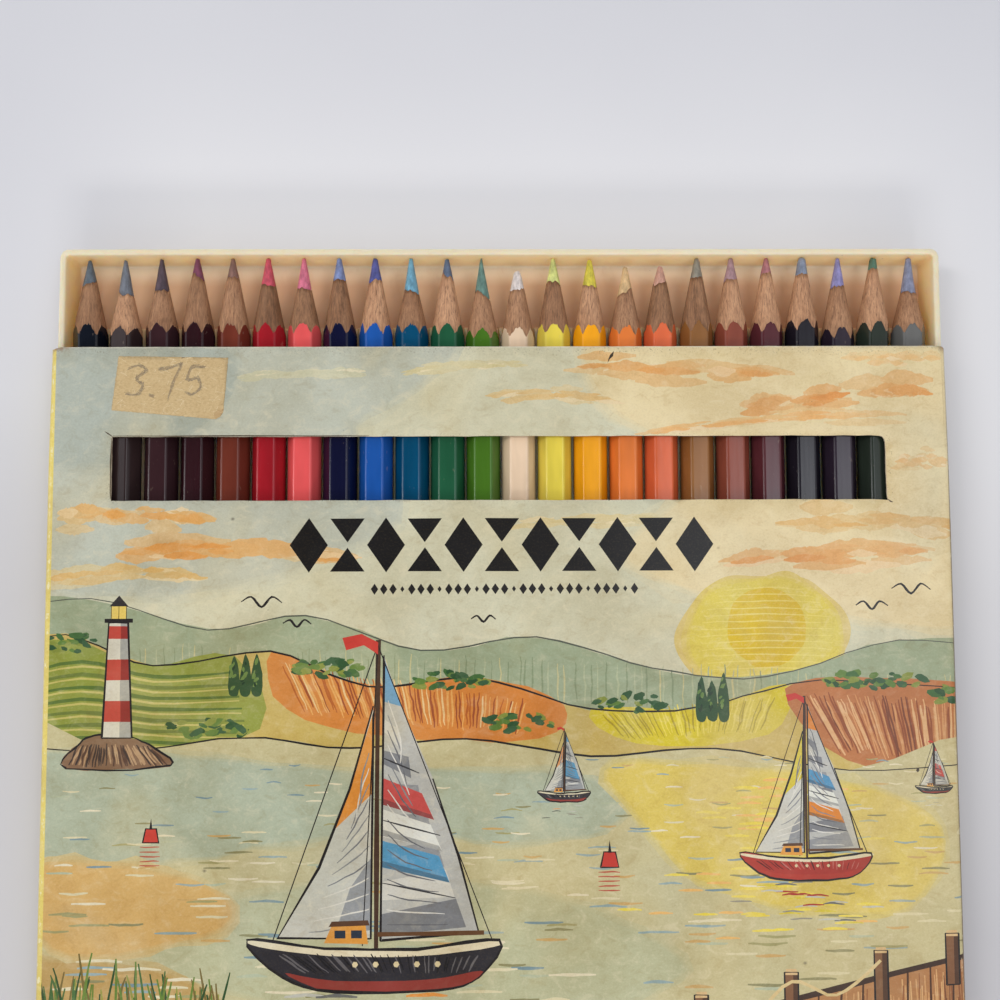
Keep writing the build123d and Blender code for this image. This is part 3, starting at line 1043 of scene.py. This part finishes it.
def hills(art):
    """Far hills, orange slopes and striped fields running down to the water."""
    rng = art.rng
    far = [(-116, 31), (-92, 34), (-66, 27), (-44, 30), (-18, 22)]
    far += [(8, 25), (34, 18), (60, 16), (90, 24), (116, 21)]
    art.area(far + [(116, 0), (-116, 0)], (160, 172, 140), 4, 0.8, 0.15)
    tones = [(178, 186, 150), (138, 152, 118), (196, 190, 140)]
    art.hatch([(-112, 26), (110, 16), (110, 6), (-112, 12)], 120, 0.35, tones)
    near = [(-116, 21), (-98, 26), (-78, 19), (-52, 22), (-30, 14)]
    near += [(-6, 16), (20, 9), (44, 9), (72, 15), (116, 12)]
    art.area(near + [(116, -8), (-116, -14)], (204, 178, 98), 4, 0.8, 0.15)
    slope = [(-52, 22), (-30, 14.5), (-6, 16), (14, 10), (8, 2), (-26, 3), (-48, 9)]
    tones = [(234, 170, 92), (184, 98, 42), (236, 196, 136), (160, 80, 44)]
    art.area(slope, (216, 134, 58), 4, 0.8, 0.2)
    art.hatch([(-50, 20), (6, 11), (4, 3), (-44, 8)], 64, 0.42, tones)
    tones = [(232, 214, 84), (178, 158, 36)]
    art.area([(20, 9), (44, 9), (64, 14), (60, 3), (30, 1)], (216, 196, 40), 4, 0.7, 0.2)
    art.hatch([(22, 8), (62, 12.5), (58, 3.5), (28, 2)], 40, 0.38, tones)
    tones = [(214, 152, 98), (150, 80, 44), (226, 176, 124), (128, 70, 44)]
    art.area([(64, 13), (84, 15.5), (116, 11), (116, -9), (78, -3)], (190, 120, 70), 4, 0.7, 0.2)
    art.hatch([(68, 12.5), (110, 11), (108, -6), (76, -1.5)], 60, 0.5, tones)
    meadow = [(-116, 19), (-98, 25), (-80, 19), (-60, 21), (-54, 5), (-84, -1), (-116, 1)]
    art.area(meadow, (146, 156, 64), 4, 0.9, 0.2)
    for k in range(8):
        y = 17 - 2.4 * k
        line = [(-112, y - 1), (-94, y + 3 - 0.4 * k), (-78, y - 0.5), (-60 + k * 0.6, y + 0.5 - 0.3 * k)]
        art.stroke(line, 0.9, rng.choice([(92, 118, 50), (112, 128, 56)]))
        art.stroke([(x, v - 1.0) for x, v in line], 0.5, (200, 190, 104))
    art.stroke(far, 0.35, (84, 90, 80), 5, 0.4)
    art.stroke(near, 0.45, INK, 5, 0.4)
    greens = [(66, 108, 56), (96, 130, 56), (44, 84, 48), (134, 146, 60), (58, 96, 62)]
    woods = ((-38, 18.5, 10, 34), (-12, 15.5, 9, 28), (30, 10, 9, 26), (84, 15, 12, 40))
    woods += ((104, 12, 9, 28), (4, 6, 8, 22), (-66, 5, 10, 30), (-96, 24, 8, 24))
    for x, y, wide, count in woods:
        art.dabs((x, y), (wide, 1.9), count, 0.85, greens)
    for x in (-60, -57.4, -54.9, 45, 47.4, 50):
        foot = 12.5 if x < 0 else 6.5
        tall = rng.uniform(7.5, 10.5)
        middle = foot + tall * 0.5
        tree = [(x - 1, foot), (x + 1, foot), (x + 1.2, middle), (x, foot + tall), (x - 1.2, middle)]
        art.area(tree, (46, 82, 50), 4, 0.2, 0.8)
        art.dabs((x - 0.3, middle), (0.5, tall * 0.35), 8, 0.4, [(98, 134, 64), (34, 62, 42)], 1.2)


def lake(art):
    """Sandy, sage and pale blue water in level strokes, with a light path under the sun."""
    rng = art.rng
    shore = [(-116, 2), (-86, 0), (-58, 3), (-34, 0.5), (-8, 2.5), (20, -1.5), (48, 0), (78, -5), (116, -3)]
    art.area(shore + [(116, -100), (-116, -100)], SAND, 4, 0.6, 0.2)
    shallows = [(-116, -2), (-70, -2), (-34, -5), (4, -5), (30, -10), (14, -20), (-30, -18)]
    shallows += [(-80, -24), (-116, -20)]
    deeps = [(-30, -28), (14, -34), (40, -48), (10, -58), (-50, -54), (-78, -44), (-60, -34)]
    for points, colour, spread in (
        (shallows, (178, 186, 160), 1.8),
        (deeps, (190, 190, 152), 2.4),
        ([(26, -4), (72, -7), (98, -18), (86, -36), (48, -30), (32, -16)], (222, 198, 96), 2.4),
        ([(-116, -48), (-70, -50), (-60, -70), (-116, -76)], (192, 158, 96), 2.6),
        ([(-104, -26), (-70, -28), (-62, -38), (-96, -44)], (216, 176, 108), 2.4),
    ):
        art.wash(points, colour, SAND, 5, spread)
    art.stroke(shore, 0.45, INK, 5, 0.3)
    tones = [(150, 172, 172), (222, 212, 172), (124, 150, 158), (228, 218, 182), (166, 160, 108)]
    tones += [(206, 168, 104), (182, 190, 160), (144, 140, 98), (232, 222, 190)]
    for _ in range(330):
        y, x = rng.uniform(-60, -2), rng.uniform(-102, 102)
        size = 2.4 + (-y) * 0.11 * rng.uniform(0.6, 1.6)
        ripple = [(x, y), (x + size * 0.5, y + rng.uniform(-0.3, 0.3)), (x + size, y)]
        art.stroke(ripple, 0.3 + 0.008 * -y, rng.choice(tones), 3, 0.15)
    for _ in range(60):
        y = rng.uniform(-42, -6)
        x = 60 + rng.gauss(0, 5 + -y * 0.28)
        tone = rng.choice([(236, 214, 78), (238, 186, 104)])
        art.stroke([(x, y), (x + 2.6, y + 0.1), (x + 5.4, y)], 0.6, tone, 3, 0.15)
    for _ in range(90):
        y, x = rng.uniform(-90, -60), rng.uniform(-102, 102)
        art.stroke([(x, y), (x + 4, y + 0.3), (x + 8, y)], 0.7, rng.choice(tones), 3, 0.2)


def placed(x, y, size):
    """A function that puts points of a small drawing in their place on the sheet."""
    return lambda *points: [(x + px * size, y + py * size) for px, py in points]


def lighthouse(art, x, y, size):
    """A banded tower with a lantern, on rocks."""
    rock = placed(x, y, size)((-12, -5), (-9, 1), (-4, 3), (3, 2.4), (8, 0.5), (13, -4.6))
    art.area(rock, (138, 106, 80), 4, 0.5, 0.4)
    tones = [(96, 70, 56), (186, 150, 112), (72, 58, 52)]
    art.hatch([rock[1], rock[4], rock[5], rock[0]], 34, 0.5, tones)
    art.outline(rock, 0.5)
    tall, low, high = 30 * size, 3.6 * size, 2.3 * size
    foot, top = y + 2, y + tall

    def span(left, right, bottom, over, tone, shake=0.1):
        """A four-sided shape: its sides' places at the bottom and at the top."""
        (a, b), (c, d) = left, right
        art.patch([(x + a, bottom), (x + c, bottom), (x + d, over), (x + b, over)], tone, shake)

    span((-low, -high), (low, high), foot, top, (222, 218, 202))
    span((low * 0.2, high * 0.2), (low, high), foot, top, (168, 168, 162))
    for a, b in ((0.14, 0.32), (0.5, 0.68), (0.86, 0.97)):
        wide, narrow = low + (high - low) * a, low + (high - low) * b
        for side, tone in ((-1.0, (200, 76, 62)), (0.25, (152, 52, 46))):
            bottom, over = foot + (tall - 2) * a, foot + (tall - 2) * b
            span((wide * side, narrow * side), (wide, narrow), bottom, over, tone)
    art.outline([(x - low, foot), (x + low, foot), (x + high, top), (x - high, top)], 0.5, 0, 0.15)
    for half, bottom, over, tone in (
        (high * 1.5, top, top + 0.9, INK),
        (high * 0.8, top + 0.9, top + 4 * size, (238, 208, 104)),
    ):
        span((-half, -half), (half, half), bottom, over, tone, 0.05)
    roof = [(x - high, top + 4 * size), (x + high, top + 4 * size), (x, top + 6.6 * size)]
    art.patch(roof, (52, 48, 50), 0.05)
    for k in (-0.8, 0, 0.8):
        art.stroke([(x + high * k, top + 0.9), (x + high * k, top + 4 * size)], 0.3, INK, 0, 0.0)


def boat(art, x, y, size, hull, stripes, jib):
    """A sailing boat: hull, mast, striped mainsail, jib and a broken reflection."""
    rng = art.rng
    thin = size ** 0.5
    at = placed(x, y, size)
    for _ in range(int(40 * size)):
        v, u = -rng.uniform(7, 24), rng.gauss(-1, 10)
        tone = rng.choice([hull, (196, 196, 184), (112, 114, 112), jib, (150, 146, 130)])
        art.stroke(at((u - 4, v), (u, v + 0.3), (u + 4, v)), 0.7 * size, tone, 3, 0.2)
    main = at((1.0, 3), (1.4, 58), (5.2, 47), (11, 34), (16, 19), (20, 4.5))
    fore = at((-0.6, 48), (-5.2, 32), (-11, 17), (-19, 3.6), (-1, 3.4))
    art.patch(main, (188, 188, 182), 0.15)
    for t in [k / 7 for k in range(7)]:
        tone = rng.choice([(150, 152, 154), (214, 212, 202), (128, 130, 134), (170, 172, 172)])
        panel = ((1.1, 4 + 46 * t), (17.5 - 15 * t, 5.5 + 40 * t), (15.5 - 13 * t, 11 + 38 * t))
        art.patch(at(*panel, (1.1, 8 + 44 * t)), tone, 0.3)
    for k, colour in enumerate(stripes):
        low, high = 17 + 18 * k / len(stripes), 17 + 18 * (k + 0.85) / len(stripes)
        right = 18.6 - low * 0.25
        art.patch(at((1.1, low), (1.1, high), (18.2 - high * 0.27, high - 3), (right, low - 3)), colour, 0.15)
        fold = at((1.1, low), (1.1, low + 1.2), (18.0 - low * 0.25, low - 2), (right, low - 3))
        art.patch(fold, mixed(colour, (60, 60, 66), 0.35), 0.15)
    art.patch(at((1.4, 57.5), (1.2, 49), (4.8, 48)), stripes[0])
    for t in [k / 16 for k in range(16)]:
        crease = at((2.2, 6 + 46 * t), (6.5 - 2 * t, 6 + 38 * t), (14 - 10 * t, 6 + 33 * t))
        tone = rng.choice([(132, 134, 138), (224, 222, 214), (104, 106, 112)])
        art.stroke(crease, 0.32 * thin, tone, 3, 0.2)
    art.patch(fore, (206, 204, 192), 0.15)
    art.patch(at((-0.6, 47), (-5.2, 32), (-8.4, 24), (-0.8, 31)), jib, 0.15)
    art.patch(at((-0.8, 5), (-0.8, 19), (-5, 13), (-8, 4)), (150, 152, 154), 0.2)
    for k in range(12):
        crease = at((-1.4, 6 + 3 * k), (-5 + 0.2 * k, 5.6 + 2.6 * k), (-13 + 0.9 * k, 4.6 + 2.2 * k))
        tone = rng.choice([(140, 142, 144), (120, 122, 128), (224, 220, 208)])
        art.stroke(crease, 0.32 * thin, tone, 3, 0.2)
    for sail in (main, fore):
        art.outline(sail, 0.6 * thin, 0, 0.25)
    for low, far in ((14, 15.5), (26, 12.5), (38, 8.4)):
        art.stroke(at((1.2, low), (far, low - 3)), 0.35 * thin, (58, 58, 62), 3, 0.1)
    art.stroke(at((0.1, 1), (0.1, 30), (0.3, 61)), 1.05 * size, (74, 52, 40), 3, 0.1, 0.1)
    art.stroke(at((0.3, 4.2), (21, 4.4)), 0.9 * size, (104, 70, 44), 3, 0.1, 0.1)
    for foot in ((-20, 3), (23, 2), (-2.6, 2)):
        art.stroke(at((0.2, 60), foot), 0.26 * thin, INK, 0, 0.0, 0.0)
    flag = at((0.3, 60.5), (-3, 62.2), (-6.8, 61.4), (-6, 59.0), (-2.6, 60), (0.2, 58.2))
    art.patch(flag, (206, 62, 54), 0.15)
    shell = at((-25, 3.4), (-10, 1.6), (8, 1.4), (24, 3.0), (20, -4), (12, -6.4), (-8, -6.6), (-18, -3.8))
    rail = at((-24, 3.2), (-10, 1.5), (8, 1.3), (23.6, 2.9), (23, 1.7), (8, 0), (-9, 0.2), (-22.6, 2))
    keel = at((-17.5, -3.0), (-8, -4.5), (10, -4.4), (20.4, -2.8), (19, -4.8), (12, -6.4), (-8, -6.6))
    art.area(shell, hull, 4, 0.15)
    art.area(rail, (230, 218, 186), 4, 0.1)
    art.area(keel, mixed(hull, (190, 66, 52), 0.7), 4, 0.1)
    tones = [mixed(hull, (230, 226, 220), 0.3), mixed(hull, (12, 12, 14), 0.5)]
    planks = at((-20, 0.8), (20, 0.2), (18, -3.2), (-14, -3.2))
    art.hatch(planks, int(26 * size) + 6, 0.35 * thin, tones, 0.2)
    art.outline(shell, 0.65 * thin, 4, 0.2)
    art.patch(at((-10, 2.6), (-1.5, 2.4), (-2, 6), (-8.6, 5.8)), (226, 156, 66))
    art.patch(at((-9.2, 5.7), (-1.2, 5.9), (-1.5, 6.9), (-8.6, 6.7)), (92, 62, 44))
    for k in (-8, -4.8):
        art.patch(at((k, 3.5), (k + 2.1, 3.5), (k + 2.1, 5), (k, 5)), (44, 54, 70), 0.05)
    for k in (-4, 0, 4, 8, 12):
        port = [(k + 0.6 * math.cos(a), -1.5 + 0.6 * math.sin(a)) for a in range(6)]
        art.patch(at(*port), (222, 204, 160), 0.0)


def quay(art):
    """A plank quay with posts, buoys, gulls and reeds."""
    rng = art.rng
    tones = [(214, 160, 106), (150, 92, 54), (226, 178, 124), (126, 78, 50)]
    art.patch([(38, -61), (110, -44), (116, -100), (30, -100)], (184, 128, 80), 0.3)
    art.hatch([(40, -61), (106, -46), (108, -98), (34, -98)], 160, 0.5, tones)
    for k in range(15):
        a, b = (40 + 5 * k, -61 + 1.18 * k + 0.6), (34 + 5.4 * k, -100)
        art.stroke([a, ((a[0] + b[0]) / 2, -80), b], 0.55, (84, 54, 38), 3, 0.3, 0.2)
    art.stroke([(38, -61), (74, -52.6), (110, -44)], 1.2, (66, 46, 38), 3, 0.3, 0.1)
    for place in ((44, -59), (64, -54.2), (84, -49.6), (100, -46)):
        at = placed(*place, 1)
        post = at((-1.5, -6), (1.5, -5.8), (1.5, 5.2), (-1.5, 5.2))
        art.patch(post, (132, 90, 60), 0.15)
        art.patch(at((0.3, -6), (1.5, -5.8), (1.5, 5.2), (0.3, 5.2)), (84, 56, 40), 0.15)
        art.patch(at((-1.5, 4.6), (1.5, 4.6), (1.1, 5.9), (-1.1, 5.9)), (222, 186, 134))
        art.outline(post, 0.45, 0, 0.1)
    rope = [(45, -56), (54, -59.5), (64, -51), (74, -54), (84, -46.5)]
    art.stroke(rope, 0.7, (222, 196, 140), 5, 0.2, 0.1)
    for x, y, s in ((24, -26, 1.0), (-78, -20, 0.9)):
        at = placed(x, y, s)
        cone = at((-2, 0), (2, 0), (1.3, 3.4), (-1.3, 3.4))
        art.patch(cone, (204, 62, 52))
        art.patch(at((-0.4, 3.2), (0.4, 3.2), (0, 6)), INK, 0.05)
        art.outline(cone, 0.4, 0, 0.1)
        for k in range(5):
            art.stroke([(x - 2.6 * s, y - 1 - k), (x + 2.2 * s, y - 1 - k)], 0.35, (190, 90, 70), 3, 0.2)
    for gull in ((-54, 32, 2.3), (-46, 27.5, 1.6), (84, 31, 1.8), (-4, 28.5, 1.4), (93, 34.5, 2.2)):
        wings = placed(*gull)((-2, 0.5), (-1, 1), (0, 0), (1, 1), (2, 0.4))
        art.stroke(wings, 0.55, INK, 4, 0.1)
    greens = [(66, 108, 56), (104, 132, 54), (44, 80, 44), (146, 150, 62), (120, 104, 54)]
    for _ in range(90):
        x = rng.uniform(-103, -62)
        y = -60 + rng.uniform(-6, 5) - 0.1 * (x + 82)
        reed = [(x, y - 8), (x + 0.5, y), (x + rng.uniform(-2, 3), y + rng.uniform(6, 13))]
        art.stroke(reed, 0.65, rng.choice(greens), 3, 0.2)
    art.dabs((-90, -74), (18, 10), 120, 1.3, greens, 0.6)
    art.dabs((-98, -60), (8, 5), 50, 1.0, greens, 0.6)


def sleeve_art():
    """The whole sheet's print: the picture, two stains, small tears, dark lines along the window's top and
    left edges, and the plain sides.
    """
    art = Artwork(7)
    sky(art)
    ornament(art)
    hills(art)
    lake(art)
    lighthouse(art, -86, 1, 0.92)
    boat(art, 68, -25, 0.6, (176, 58, 48), [(222, 134, 48), (226, 226, 214), (86, 148, 186)], (216, 196, 50))
    boat(art, 14, -10, 0.24, (58, 56, 60), [(86, 152, 190)], (226, 150, 80))
    boat(art, 97, -9, 0.17, (60, 60, 64), [(206, 80, 70)], (220, 220, 210))
    boat(art, -28, -45, 1.14, (46, 44, 50), [(88, 156, 196), (228, 228, 218), (204, 84, 80)], (230, 150, 62))
    quay(art)
    stain = [(24.6, 87.4), (25.2, 88.4), (25.9, 89.0), (26.1, 90.2), (25.2, 89.3), (24.9, 88.6)]
    spot = [(93.0, -5.2), (93.4, -5.5), (93.8, -5.1), (93.7, -4.6), (93.2, -4.5)]
    art.patch(stain, (58, 48, 38))
    art.patch(spot, (66, 56, 46), 0.05)
    # Tears at two window corners, and dark lines along the window's top and left edges
    for tear_and_edge_line in (
        [(-88.2, 70.7), (-89.1, 71.3), (-90.0, 71.9)],
        [(88.2, 56.1), (88.9, 55.5), (89.5, 55.3)],
        [(-88.5, 70.4), (-88.55, 63.0), (-88.5, 56.4)],
        [(-88.2, 70.85), (-60.0, 70.8), (-30.0, 70.8)],
    ):
        art.stroke(tear_and_edge_line, 0.28, (70, 54, 40), 4, 0.1, 0.8)
    left_side = (0.15 - FLAT, LEFT_END - 5, (232, 212, 112))
    other_sides = (FOLD_STARTS[1] + 0.3, RIGHT_END + 5, (216, 208, 186))
    for a, b, tone in (left_side, other_sides):
        art.patch([(a, -120), (a, 120), (b, 120), (b, -120)], tone, 0)
    return art


def print_colour(m):
    return m.add("Attribute", {}, "Color", attribute_name="print")


def print_material():
    """Matt-varnished print: mottled washes, pencil grain, dirt, and wear along the folds, the dark line on
    the right fold partly painted shade.
    """
    m = material("printed_board")
    x, y, _ = m.axes()
    m.base = print_colour(m)
    paper = (m.axes(m.base)[1] * 1.8).clamped()
    wash = m.noise((1, 1, 0.2), 0.045, 4, 0.6, 0.4)
    tint = m.noise((1.1, 0.9, 0.2), 0.028, 3, 0.5, 0.6)
    fine = m.noise((1.0, 1.1, 1), 2.2, 4, 0.7)
    stroke = m.noise((0.7, 1.0, 1), 0.42, 5, 0.7, 0.8)
    gate = m.ramp(m.noise((1, 1, 0.2), 0.05, 2), (0.5, 0.0), (0.64, 1.0))
    m.lay(m.ramp(wash, (0.36, 0.35), (0.62, 0.0)), (190, 172, 128), "MULTIPLY")
    m.lay(paper * m.ramp(tint, (0.52, 0.0), (0.72, 0.34)), (226, 206, 150))
    m.lay(paper * m.ramp(tint, (0.30, 0.2), (0.44, 0.0)), (184, 196, 180))
    m.lay(m.ramp(fine, (0.36, 0.10), (0.50, 0.0)), (120, 104, 74))
    m.lay(paper * m.ramp(fine, (0.54, 0.0), (0.70, 0.14)), (238, 232, 208))
    m.lay(paper * m.ramp(stroke, (0.52, 0.0), (0.68, 0.24)), (240, 226, 190))
    m.lay(m.ramp(stroke, (0.34, 0.2), (0.46, 0.0)), (206, 176, 122), "MULTIPLY")
    m.lay(m.specks((1, 1, 1), 0.32, 0.05) * (gate * 0.8), (62, 54, 46))
    m.lay(m.specks((1, 1.2, 1), 0.06, 0.035) * 0.8, (70, 62, 54))

    def band(value, centre, half, soft):
        """1 within half of the centre, falling to 0 over soft."""
        return (1.0 - (abs(value - centre) - half) / soft).clamped()

    grit = m.ramp(m.noise((1, 1, 1), 2.6, 3, 0.7), (0.60, 0.0), (0.66, 1.0))
    hem = (band(y, FRONT - 0.8, 0.4, 1.6) + band(y, 63.4, 7.4, 0.9) * band(x, 0.0, 89.0, 1.2)).clamped()
    m.lay(grit * hem * 0.55, (88, 70, 50))
    rough_edge = m.noise((1, 0.5, 1), 0.9, 4, 0.7)
    corner = band(x, -HALF + 1.5, 1.2, 3.0) * band(y, FRONT, 0.4, 1.2)
    corner += band(x, HALF - 0.6, 0.4, 1.6) * band(y, FRONT - 0.2, 0.3, 1.4)
    for where, low, high, amount, colour in (
        (band(x, -HALF + 0.9, 0.25, 0.5), (0.55, 0.0), (0.63, 1.0), 0.8, (240, 232, 190)),
        # The dark line along the right fold: wear, with painted shade on the fold's shaded side
        (band(x, HALF - 0.3, 0.22, 0.25), (0.34, 0.6), (0.44, 1.0), 0.85, (104, 80, 50)),
        (band(x, HALF - 0.8, 0.2, 0.4), (0.58, 0.0), (0.68, 1.0), 0.6, (232, 222, 190)),
        (band(y, FRONT, 0.12, 0.3), (0.4, 0.3), (0.6, 1.0), 0.8, (226, 220, 198)),
        (corner.clamped(), (0.42, 0.0), (0.56, 1.0), 0.9, (150, 116, 92)),
    ):
        m.lay(where * m.ramp(rough_edge, low, high) * amount, colour)
    m.bump(fine + stroke, 0.07, 0.04)
    return m.finished(Roughness=m.ramp(wash, (0.3, 0.27), (0.7, 0.35)), IOR=1.45)


def board_material(name, pale, dark, scale):
    """Grey-brown inner board or its fibrous cut edge."""
    m = material(name)
    fibre = m.noise((1, 0.3, 1), scale, 5, 0.7)
    m.base = m.mix(m.ramp(fibre, (0.3, 0.0), (0.7, 1.0)), dark, pale)
    m.lay(m.specks((1, 0.5, 1), 0.8, 0.12) * 0.35, (110, 92, 72))
    m.bump(fibre, 0.3, 0.06)
    return m.finished(Roughness=0.85)


def out_of_sleeve(middle):
    """Outwards from the sleeve at a face's middle."""
    rise = middle.z - HEIGHT / 2
    if abs(rise) < HEIGHT / 2 - FOLD:
        return Vector((middle.x, 0, 0))
    return Vector((middle.x, 0, rise * HALF / (HEIGHT / 2)))


def scattered(rng, columns, rows, x, y, step_x, step_y, shift):
    """Points in rows from a first place, each moved a little."""
    places = [(x + i * step_x, y + j * step_y) for i in range(columns) for j in range(rows)]
    return [(px + rng.uniform(-shift, shift), py + rng.uniform(-shift, shift)) for px, py in places]


def thicken(obj, name, thickness):
    solid = obj.modifiers.new(name, "SOLIDIFY")
    solid.thickness = thickness * MM
    solid.offset = -1
    return solid


def make_sleeve():
    """The printed sheet, folded and given its thickness, its inside and edges bare board."""
    corners = [(LEFT_END, FRONT), (LEFT_END, -FRONT), (RIGHT_END, -FRONT), (RIGHT_END, FRONT)]
    outline = []
    for a, b, pitch in zip(corners, corners[1:] + corners[:1], (6.0, 4.0, 6.0, 2.0)):
        outline += divided(a, b, pitch)
    stops = [-(FLAT + ARC * k / 6) for k in range(7)]
    stops += [start + ARC * k / 6 for start in FOLD_STARTS for k in range(7)]
    lines = [((u, -FRONT), (u, FRONT)) for u in stops]
    spots = scattered(random.Random(3), 41, 35, -100.0, -88.4, 5.0, 5.2, 0.8)
    art = sleeve_art()
    obj = cut_sheet("printed_sleeve", outline, [window_outline()], art, PAPER, lines, spots, folded)
    solid = thicken(obj, "board", BOARD)
    solid.use_even_offset = True
    solid.material_offset = 1
    solid.material_offset_rim = 2
    inside = board_material("board_inside", (196, 186, 164), (170, 158, 134), 0.9)
    cut_edge = board_material("board_edge", (222, 210, 184), (176, 150, 118), 1.6)
    face_outwards(obj, out_of_sleeve)
    obj.modifiers.new("flat_faces", "WEIGHTED_NORMAL").keep_sharp = True
    for look in (print_material(), inside, cut_edge):
        obj.data.materials.append(look)
    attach(obj, "sleeve")
    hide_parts("sleeve")


make_sleeve()


# Paper tape with a pencilled number, curled a little at one corner
def tape_place(x, y):
    curl = math.exp(-((x + 65.0) ** 2 + (y - 74.9) ** 2) / 2.2)
    ripple = 0.012 * (1 + noise.noise(Vector((x * 0.25, y * 0.4, 5.0))))
    return (x, y, HEIGHT - sag(x, y) + 0.035 + ripple + 0.05 * curl)


def tape_art():
    """Fibres in the paper, two stains and the pencilled number."""
    art = Artwork(21)
    rng = art.rng
    fibres = [(220, 200, 158), (184, 156, 108), (232, 216, 180)]
    greys = [(146, 126, 98), (130, 114, 92), (162, 140, 104), (112, 100, 86)]
    for _ in range(160):
        x, y = rng.uniform(-88, -64), rng.uniform(75.4, 88.8)
        size = rng.uniform(0.5, 1.8)
        turn = rng.choice([0.0, 0.5, -0.4, 1.2]) + rng.uniform(-0.2, 0.2)
        end = (x + size * math.cos(turn), y + size * math.sin(turn))
        art.stroke([(x, y), end], 0.14, rng.choice(fibres), 0, 0.05)
    art.area([(-64.9, 74.8), (-63.6, 75.6), (-63.2, 77.0), (-65.2, 76.2)], (184, 150, 104), 3, 0.1)
    art.patch([(-72.9, 88.6), (-71.9, 88.9), (-72.3, 89.5)], (96, 72, 56))
    first = [(-84.6, 86.4), (-82.2, 87.0), (-80.9, 85.8), (-82.9, 84.0)]
    first += [(-81.6, 82.4), (-82.8, 80.4), (-85.6, 80.7)]
    point = [(-79.8, 80.2), (-79.1, 79.8)]
    second = [(-77.4, 86.2), (-74.6, 86.8), (-73.0, 87.0), (-74.6, 83.2), (-75.8, 79.2)]
    third = [(-67.9, 86.8), (-70.6, 86.4), (-71.2, 83.8), (-69.0, 84.0)]
    third += [(-68.6, 81.8), (-70.4, 80.4), (-72.0, 81.0)]
    for line in (first, point, second, third):
        path = smooth_line(line, 8)
        for _ in range(26 * len(line)):
            k = rng.randrange(len(path) - 2)
            x, y = path[k][0] + rng.gauss(0, 0.16), path[k][1] + rng.gauss(0, 0.16)
            dx, dy = path[k + 2][0] - path[k][0], path[k + 2][1] - path[k][1]
            size = rng.uniform(0.6, 1.4)
            tone = rng.choice(greys)
            art.stroke([(x - dx * size, y - dy * size), (x + dx * size, y + dy * size)], 0.24, tone, 0, 0.05)
    return art


def tape_material():
    """Fibrous buff paper, cloudy and flecked."""
    m = material("paper_tape")
    fibre = m.noise((0.9, 1.6, 1), 1.8, 5, 0.75)
    m.base = print_colour(m)
    m.lay(m.ramp(fibre, (0.42, 0.0), (0.62, 0.35)), (224, 202, 156))
    m.lay(m.ramp(fibre, (0.34, 0.4), (0.48, 0.0)), (166, 138, 94))
    m.lay(m.ramp(m.noise((1, 1, 1), 0.18, 3), (0.5, 0.0), (0.75, 0.3)), (184, 152, 102))
    m.lay(m.specks((1.0, 1.2, 1), 1.1, 0.16) * 0.5, (240, 226, 190))
    m.bump(fibre, 0.35, 0.05)
    return m.finished(Roughness=0.7)


def make_tape():
    """The strip of tape, one of its corners clipped, lying on the printed panel."""
    corners = [(-87.15, 89.18), (-62.18, 88.79), (-63.18, 76.25)]
    corners += [(-63.9, 75.2), (-64.84, 74.67), (-88.59, 76.72)]
    outline = []
    for a, b in zip(corners, corners[1:] + corners[:1]):
        outline += divided(a, b, 0.5)
    outline = shaken(outline, 0.12, 1.6, 8.0)
    spots = scattered(random.Random(5), 20, 11, -88, 75, 1.3, 1.3, 0.2)
    obj = cut_sheet("paper_tape", outline, [], tape_art(), (200, 172, 124), [], spots, tape_place)
    face_outwards(obj, lambda middle: Vector((0, 0, 1)))
    thicken(obj, "paper", 0.03)
    obj.data.materials.append(tape_material())
    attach(obj, "sleeve")
    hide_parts("price_tape")


make_tape()
